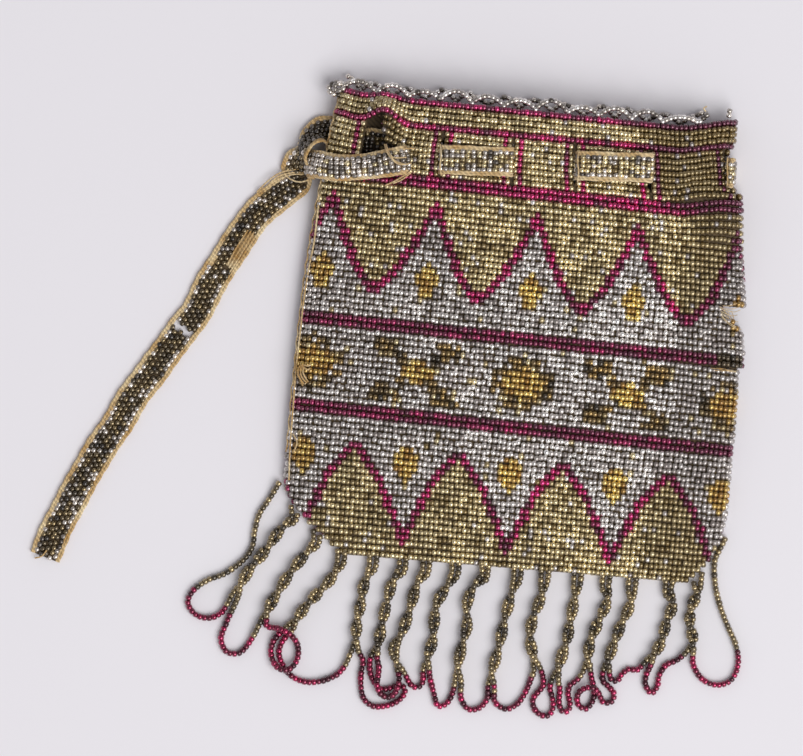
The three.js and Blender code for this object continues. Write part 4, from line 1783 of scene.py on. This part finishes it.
@dataclass
class Fringe:
    """Sixteen bead loops sewn to the bottom edge, each leg twisted with the leg of its neighbour.

    Attributes:
        pairs: The root of each twisted pair by its x, then the pixels of its middle line.
        arcs: Pixels of the open arc at the foot of each loop, with a lift where it crosses a strand.
        tuck: How far the strands' roots are tucked under the body's edge.
    """

    finishes: Finishes
    radius: float = 0.95
    twist_radius: float = 1.0
    twist_turns: int = 2
    twist_points: int = 8
    root_spread: float = 1.15
    root_drop: float = 3.5
    tuck: float = 1.1
    floor_gap: float = 0.15
    gap: float = 0.3
    left_root_row: float = 64.2
    right_root_row: float = 66.9
    bead: BeadShape = BeadShape(length=1.45, radius=0.95, rim=0.28, sides=8)
    pitch: float = 1.46
    pairs: tuple[tuple[float, Line], ...] = (
        (-63.8, ((281, 529), (271, 543), (261, 556), (250, 569), (242, 582), (235, 596))),
        (-56.4, ((303, 557), (290, 573), (281, 587), (273, 600), (266, 614), (263, 624))),
        (-48.4, ((330, 580), (317, 594), (306, 606), (298, 617), (290, 628))),
        (-38.6, ((364, 584), (361, 603), (357, 622), (356, 637), (355, 650))),
        (-29.6, ((393, 581), (388, 598), (384, 614), (381, 630), (378, 644), (374, 657))),
        (-22.4, ((417, 584), (412, 602), (407, 619), (401, 635), (394, 648), (397, 663), (402, 675))),
        (-13.4, ((446, 588), (437, 603), (434, 622), (433, 639), (428, 656), (426, 672))),
        (-4.4, ((474, 586), (467, 604), (467, 626), (462, 646), (458, 664), (458, 682))),
        (5.6, ((511, 595), (504, 622), (498, 650), (492, 672), (491, 688))),
        (14.0, ((541, 597), (533, 618), (530, 637), (533, 655), (537, 669))),
        (24.0, ((575, 596), (570, 622), (566, 643), (560, 662), (555, 680))),
        (32.8, ((608, 598), (598, 622), (590, 642), (588, 656), (587, 670))),
        (40.8, ((631, 602), (620, 627), (613, 646), (608, 660), (606, 672))),
        (52.0, ((673, 602), (666, 622), (661, 642), (648, 663))),
        (60.6, ((697, 594), (691, 608), (690, 625), (693, 640), (690, 652))),
    )
    left_leg: Line = (
        (270, 498), (259, 515), (254.5, 532), (252.5, 546), (246, 557), (236, 566), (224, 574), (208, 580),
    )
    right_leg: Line = ((736, 646), (728, 627), (720, 606), (715, 583), (715, 560), (720, 549))
    arcs: Lines = (
        ((192, 592), (188, 603), (195, 614), (208, 618), (221, 613)),
        ((226, 624), (221, 639), (227, 652), (239, 653), (249, 643)),
        ((269, 627, 0.6), (277, 628, 2.2), (285, 631, 3.3), (293, 637, 2.6), (298, 647, 0.8), (297, 660, 0.6),
         (289, 669, 1.9), (280, 669, 1.9), (273, 661, 0.8), (271, 650), (274, 640, 0.4)),
        ((282, 642), (279, 654), (284, 667), (293, 677), (307, 682), (325, 680), (341, 671)),
        ((363, 661), (361, 673), (361, 687), (364, 699), (373, 706), (385, 706), (396, 702), (403, 696),
         (405, 689), (399, 685), (390, 688), (381, 689), (374, 682), (370, 671)),
        ((379, 667, 0.6), (378, 676, 1.3), (377, 685, 2.0), (381, 694, 1.2), (388, 697, 0.4), (394, 694, 1.2),
         (398, 686, 2.0)),
        ((409, 682), (414, 687), (420, 686), (423, 680)),
        ((431, 682), (434, 694), (438, 706), (446, 704), (452, 694)),
        ((461, 698), (468, 709), (479, 708), (487, 699)),
        ((495, 702), (506, 709), (517, 704), (525, 693), (530, 681)),
        ((543, 678), (543, 686), (538, 692), (533, 699), (534, 708), (541, 715), (549, 715), (553, 707),
         (552, 697), (550, 689)),
        ((560, 690), (559, 701), (562, 711), (568, 711), (570, 703), (568, 694), (570, 685), (577, 680)),
        ((592, 680), (594, 690), (592, 702), (585, 709), (578, 704), (578, 694, 0.6), (585, 688, 1.8),
         (593, 688, 2.1), (599, 694, 0.6), (603, 702), (611, 702), (614, 694), (609, 687), (603, 681)),
        ((611, 679), (617, 681), (622, 674), (629, 669), (637, 670)),
        ((647, 673), (645, 683), (651, 693), (657, 687), (659, 676), (666, 665), (677, 660)),
        ((693, 664), (702, 679), (717, 685), (731, 680), (738, 664)),
    )
    wine_reach: float = 3.0
    ragged: float = 1.2
    twist_step: float = 0.25
    step: float = 0.3
    path_step: float = 1.5
    chance: Chance = seeded(3)

    def edge_y(self, x: float) -> float:
        """Y of the body's bottom edge, across its cut corners too.

        Args:
            x: Place along the edge.

        Returns:
            Its y.
        """
        cut = FORM.left_corner_cut if x < 0 else FORM.right_corner_cut
        inside = clamp((FORM.body_half - abs(x)) / cut)
        above = FORM.row_count - FORM.corner_rows
        return FORM.row_y(above + FORM.corner_rows * inside ** (1 / FORM.corner_ease))

    def root(self, x: float, height: float) -> Place:
        """Where a strand is sewn on below the bottom edge.

        Args:
            x: Place along the edge.
            height: Height of the strand.

        Returns:
            The point.
        """
        slope = abs(self.edge_y(x + self.gap) - self.edge_y(x - self.gap)) / (2 * self.gap)
        drop = self.gap * math.hypot(1.0, slope) + self.radius * slope
        return x, self.edge_y(x) - drop + self.tuck, height

    def leg_root(self, row: float, sign: int) -> Place:
        """Where a single leg is sewn to the right side of the body, or with a sign of -1 to the left."""
        reach = FORM.half_widths(row)[1 if sign > 0 else 0] + self.radius + self.gap
        return sign * reach, FORM.row_y(row), FORM.heights(row)[2]

    def twisted(self, root_x: float, pixels: Sequence[Pixel]) -> list[Array]:
        """The two strands of a twisted pair, from their roots to where they part.

        Args:
            root_x: Place of the pair along the bottom edge.
            pixels: Middle line of the pair.

        Returns:
            The left and the right strand.
        """
        height = self.twist_radius + self.radius + self.floor_gap
        top = np.array([[root_x, self.edge_y(root_x) - self.root_drop, height]])
        line = smooth_line(np.vstack((top, PHOTO.place(pixels, height))), self.twist_step)
        count = self.twist_turns * self.twist_points
        at = line[np.linspace(0, len(line) - 1, count + 1).round().astype(int)]
        along = unit(np.gradient(at, axis=0))
        left = unit(np.column_stack((along[:, 1], -along[:, 0], np.zeros(len(along)))))
        turn = 2 * math.pi * np.arange(count + 1)[:, None] / self.twist_points
        swing = left * np.cos(turn) + np.array([[0.0, 0.0, 1.0]]) * np.sin(turn)
        strands = []
        for sign in (-1, 1):
            start = self.root(root_x + sign * self.root_spread, height)
            strands.append(np.vstack((start, at - sign * self.twist_radius * swing)))
        return strands

    def build(self) -> None:
        """String every loop: down one strand, round its open arc and up a strand of the next pair."""
        low = self.radius + self.floor_gap
        strands = [self.twisted(*pair) for pair in self.pairs]
        first = np.vstack((self.leg_root(self.left_root_row, -1), PHOTO.place(self.left_leg, low)))
        last = np.vstack((PHOTO.place(self.right_leg, low), self.leg_root(self.right_root_row, 1)))
        for loop, arc in enumerate(self.arcs):
            down = first if loop == 0 else strands[loop - 1][1]
            up = last if loop == len(self.pairs) else strands[loop][0][::-1]
            open_arc = PHOTO.place(arc, low)
            self.string(loop, smooth_line(np.vstack((down, open_arc, up)), self.step), open_arc)

    def string(self, loop: int, line: Array, arc: Array) -> None:
        """Args:
            loop: Number of the loop from the left.
            line: Its line.
            arc: Points of its open arc.
        """
        run = run_along(line)
        ends = [run[int(np.argmin(np.linalg.norm(line - point, axis=1)))] for point in (arc[0], arc[-1])]

        def finish(count: int) -> Array:
            """Wine beads round the arc, with a ragged change to olive."""
            at = np.linspace(0.0, run[-1], count) + self.chance.normal(0.0, self.ragged, count)
            return ((at > ends[0] - self.wine_reach) & (at < ends[1] + self.wine_reach)).astype(int)

        piece = string_beads(f"fringe_beads_{loop + 1:02d}", line, self.bead, self.pitch,
                             [self.finishes.olive, self.finishes.wine], self.chance, finish)
        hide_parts(f"fringe_loop_{loop + 1:02d}")


@dataclass
class LooseThreads:
    """Cream cotton threads that show: the sewn left side, and ends frayed at the slits, tear and strap.

    The pixels of on_body and lint carry a lift above the front wall, and those of on_floor a height.

    Attributes:
        stitch_in: How far in a stitch lies on the front and on the fold, and the spread of both.
    """

    body: WovenBody
    finishes: Finishes
    radius: float = 0.27
    fray_radius: float = 0.24
    lint_radius: float = 0.1
    stitch_rows: float = 2.5
    first_row: float = 1.0
    end_rows: float = 13.0
    stitch_in: Place = (0.2, -0.1, 0.05)
    stitch_lift: Span = (0.45, 0.8)
    seam_lift: float = 0.35
    sewn_step: float = 0.5
    step: float = 0.4
    seam: Line = (
        (341, 90), (336, 110), (331, 140), (327, 160), (323, 179), (318, 210), (314, 243), (309, 268),
        (304, 300), (300, 335), (296, 370), (293, 410), (290, 450), (289, 480),
    )
    on_body: Lines = (
        ((384.7, 145, 1.0), (386, 150, 2.6), (389, 156, 4.2), (393, 161, 4.8), (400, 165, 4.6),
         (411, 164, 2.2)),
        ((386, 145, 1.0), (388.5, 152, 3.0), (393, 158, 4.6), (399, 158.5, 4.4), (406, 158, 2.4)),
        ((385.5, 146, 1.0), (388, 154, 3.4), (393, 160, 4.9), (398, 163, 4.6), (405, 165, 3.0)),
        ((403, 149, 1.6), (409, 149, 1.8), (415, 149, 1.2)),
        ((410.5, 172, 0.9), (401, 178, 1.3), (394, 182, 1.1), (385, 186, 0.9)),
        ((411, 173, 0.8), (402, 180, 1.0), (393, 184, 0.9)),
        ((440, 145, 1.0), (441, 155, 2.4), (440, 166, 2.4), (441, 176, 0.9)),
        ((578, 152, 1.0), (577, 162, 2.4), (578, 173, 2.4), (577, 182, 0.9)),
        ((727, 158, 0.6), (726.5, 166, 0.8), (727, 176, 0.8), (726.5, 186, 0.6)),
        ((300, 366, 1.4), (298, 371, 1.7), (300, 378, 1.5), (304, 384, 1.0)),
        ((302, 365, 1.4), (300.5, 371, 1.8), (302.5, 378, 1.6), (307, 383, 1.0)),
        ((304, 366, 1.4), (303, 371, 1.8), (305, 377, 1.6), (308.5, 382, 1.0)),
        ((300, 366, 1.4), (304, 365, 1.7), (308, 366, 1.6), (311, 365, 1.0)),
        ((301, 366, 1.4), (305, 368, 1.7), (308, 370, 1.5), (310, 368, 1.0)),
        ((299, 367, 1.4), (298, 374, 1.6), (301, 381, 1.3), (303, 386, 1.0)),
        ((293, 434, 0.7), (297, 442, 1.2), (294, 452, 0.8)),
        ((705, 112, 0.6), (703, 109, 0.9), (706, 107, 0.7)),
    )
    lint: Lines = (
        ((719, 307, 0.7), (725, 309, 0.8), (732, 309, 0.8), (739, 307, 0.6)),
        ((720, 309, 0.7), (727, 311, 0.7), (734, 312, 0.6), (740, 310, 0.3)),
        ((720, 311, 0.6), (726, 314, 0.5), (732, 316, 0.3), (737, 315, 0.0)),
        ((721, 313, 0.6), (727, 318, 0.5), (733, 321, 0.3), (738, 322, 0.0)),
        ((720, 314, 0.7), (726, 321, 0.7), (734, 326, 0.7), (741, 330, 0.5)),
        ((721, 317, 0.8), (728, 324, 0.8), (735, 328, 0.8), (741, 333, 0.5)),
        ((722, 306, 0.8), (729, 306, 0.9), (735, 304, 0.9), (742, 303, 0.5)),
        ((723, 310, 0.4), (727, 315, 0.1), (729, 322, 0.4)),
        ((727, 311, 0.3), (730, 317, 0.0), (734, 324, 0.3)),
        ((731, 311, 0.4), (733, 317, -0.2), (732, 324, 0.3)),
        ((710, 368, 0.5), (718, 369, 0.7), (727, 371, 0.7), (736, 371, 0.5)),
        ((713, 370, 0.5), (722, 371, 0.7), (730, 370, 0.7), (737, 373, 0.4)),
        ((716, 368, 0.5), (724, 369, 0.7), (732, 372, 0.6), (738, 370, 0.3)),
        ((734, 357, 0.8), (739, 360, 0.9), (743, 365, 0.5)),
    )
    on_floor: Lines = (
        ((319, 170, 1.6), (306, 169, 2.1), (292, 170, 2.2), (280, 173, 2.2), (268, 181, 2.1),
         (257, 192, 1.9)),
        ((318, 172, 1.7), (305, 172, 2.3), (291, 173, 2.3), (279, 176, 2.3), (270, 183, 2.2)),
        ((317, 174, 1.8), (304, 174, 2.4), (290, 175, 2.4), (280, 179, 2.3)),
        ((284, 174, 2.3), (292, 180, 2.8), (300, 182, 2.8), (308, 180, 2.8), (315, 174, 2.0)),
        ((254, 232, 1.9), (248, 242, 2.1), (240, 256, 2.1), (230, 272, 1.9)),
        ((251, 231, 1.9), (245, 241, 2.1), (237, 254, 2.1), (229, 268, 1.9)),
        ((248, 230, 1.9), (242, 239, 2.0), (234, 252, 2.0), (228, 264, 1.9)),
        ((47, 550, 2.0), (42, 556, 2.0), (35, 558, 1.2)),
    )
    chance: Chance = seeded(4)

    def whip(self) -> Array:
        """Line of the whip stitches, over the edge and back.

        Returns:
            Points of the line.
        """
        count = int((FORM.row_count - self.end_rows - self.first_row) / self.stitch_rows * 2)
        points = []
        for step in range(count):
            row = self.first_row + step * self.stitch_rows / 2
            left, _, _ = FORM.half_widths(row)
            y = FORM.row_y(row)
            under = step % 2
            x = -left + self.stitch_in[under] + float(self.chance.normal(0.0, self.stitch_in[2]))
            level = FORM.heights(row)[2] if under else FORM.wall_height(Side.FRONT, x, y)
            z = level + self.stitch_lift[under]
            points.append((x + self.body.shift(row, x), y + self.body.rise(row, x), z))
        return np.array(points)

    def on_front(self, pixels: Sequence[Pixel]) -> Array:
        """Points of a thread that lies on the front wall.

        Args:
            pixels: The thread's pixels, each with its lift above the wall.

        Returns:
            Its points.
        """
        points = PHOTO.place(pixels)
        points[:, 2] += [FORM.wall_height(Side.FRONT, x, min(y, FORM.mouth_y)) for x, y, _ in points]
        return points

    def build(self) -> None:
        """Sew the seam and lay the frayed ends."""
        long_stitch = self.on_front([(*pixel, self.seam_lift) for pixel in self.seam])
        sewn = [smooth_line(line, self.sewn_step) for line in (self.whip(), long_stitch)]
        stitches = add_thread("whip_stitches", sewn, self.radius, self.finishes.cotton)
        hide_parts("seam_thread")
        loose = [smooth_line(self.on_front(line), self.step) for line in self.on_body]
        loose += [smooth_line(PHOTO.place(line), self.step) for line in self.on_floor]
        frayed = add_thread("frayed_threads", loose, self.fray_radius, self.finishes.cotton)
        fibres = [smooth_line(self.on_front(line), self.step) for line in self.lint]
        lint = add_thread("loose_fibres", fibres, self.lint_radius, self.finishes.cotton)


# Stage


@dataclass(frozen=True)
class Studio:
    """A pale floor, one broad soft key light from the lower right, a sky dim overhead, and the camera.

    Lengths are metres, the light's power is watts, and the sensor's width is millimetres.

    Attributes:
        sky: Strength of the sky at the horizon and overhead.
    """

    camera_height: float = 5.0
    camera_reach: float = 100.0
    sensor: float = 36.0
    floor_size: float = 8.0
    floor_colour: str = "#eeebef"
    floor_roughness: float = 0.95
    floor_specular: float = 0.2
    key_power: float = 109.0
    key_size: float = 2.9
    key_place: Place = (1.5, -1.275, 3.15)
    sky: Span = (0.84, 0.19)
    sky_colour: str = "#f3f2f6"

    def build(self) -> None:
        """Set up the floor, the lights and the camera."""
        bpy.context.scene.view_settings.view_transform = "Standard"
        self.lay_floor()
        self.light_sky()
        self.light_key()
        self.set_camera()

    def light_sky(self) -> None:
        """Make a sky that is bright at the horizon, where the beads' sides mirror it, and dim overhead."""
        world = bpy.data.worlds.new("dim_sky")
        world.use_nodes = True
        tree = world.node_tree
        background = tree.nodes["Background"]
        background.inputs["Color"].default_value = linear(self.sky_colour)
        heading = add_node(tree, "ShaderNodeTexCoord").outputs["Generated"]
        upwards = add_node(tree, "ShaderNodeSeparateXYZ", {}, {0: heading}).outputs["Z"]
        values = {"To Min": self.sky[0], "To Max": self.sky[1]}
        level = add_node(tree, "ShaderNodeMapRange", values, {"Value": upwards}).outputs["Result"]
        tree.links.new(level, background.inputs["Strength"])
        bpy.context.scene.world = world

    def light_key(self) -> None:
        """Hang the key light, facing the pouch."""
        lamp = bpy.data.lights.new("key_light", "AREA")
        lamp.energy = self.key_power
        lamp.size = self.key_size
        key = link("key_light", lamp)
        key.location = self.key_place
        key.rotation_euler = (-Vector(self.key_place)).to_track_quat("-Z", "Y").to_euler()

    def set_camera(self) -> None:
        """Set the camera straight above the middle of the picture."""
        lens = bpy.data.cameras.new("camera")
        lens.sensor_width = self.sensor
        lens.lens = self.sensor * self.camera_height / (PHOTO.width * PHOTO.scale * METRE)
        lens.clip_end = self.camera_reach
        camera = link("camera", lens)
        middle = PHOTO.place([(PHOTO.width / 2, PHOTO.height / 2)])[0] * METRE
        camera.location = (middle[0], middle[1], self.camera_height)
        camera.rotation_euler = (0.0, 0.0, PHOTO.tilt)
        bpy.context.scene.camera = camera

    def lay_floor(self) -> None:
        """Lay the pale floor just under the pouch."""
        grid = bmesh.new()
        bmesh.ops.create_grid(grid, x_segments=1, y_segments=1, size=self.floor_size / 2)
        mesh = mesh_of(grid, "floor")
        paper = {"Base Color": linear(self.floor_colour), "Roughness": self.floor_roughness,
                 "Specular IOR Level": self.floor_specular}
        mesh.materials.append(Shading("matt_paper").dress({}, paper))
        link("floor", mesh)


def main() -> None:
    """Build every sub-assembly in order."""
    logging.basicConfig(level=logging.INFO, format="%(name)s %(message)s")
    finishes = Finishes.make()
    Studio().build()
    Fringe(finishes).build()
    DrawString(finishes).build()
    slits = [FORM.column_at(STRAP_ROW, x, side) for side in Side for x in SLIT_PLACES]
    torn = FORM.column_at(STRAP_ROW, TORN_PLACE, Side.FRONT)
    body = WovenBody(WovenPattern(slits=tuple(slits[1:]), torn_slit=torn), finishes)
    body.build()
    PicotEdging(body, finishes).build()
    LooseThreads(body, finishes).build()


if __name__ == "__main__":
    main()
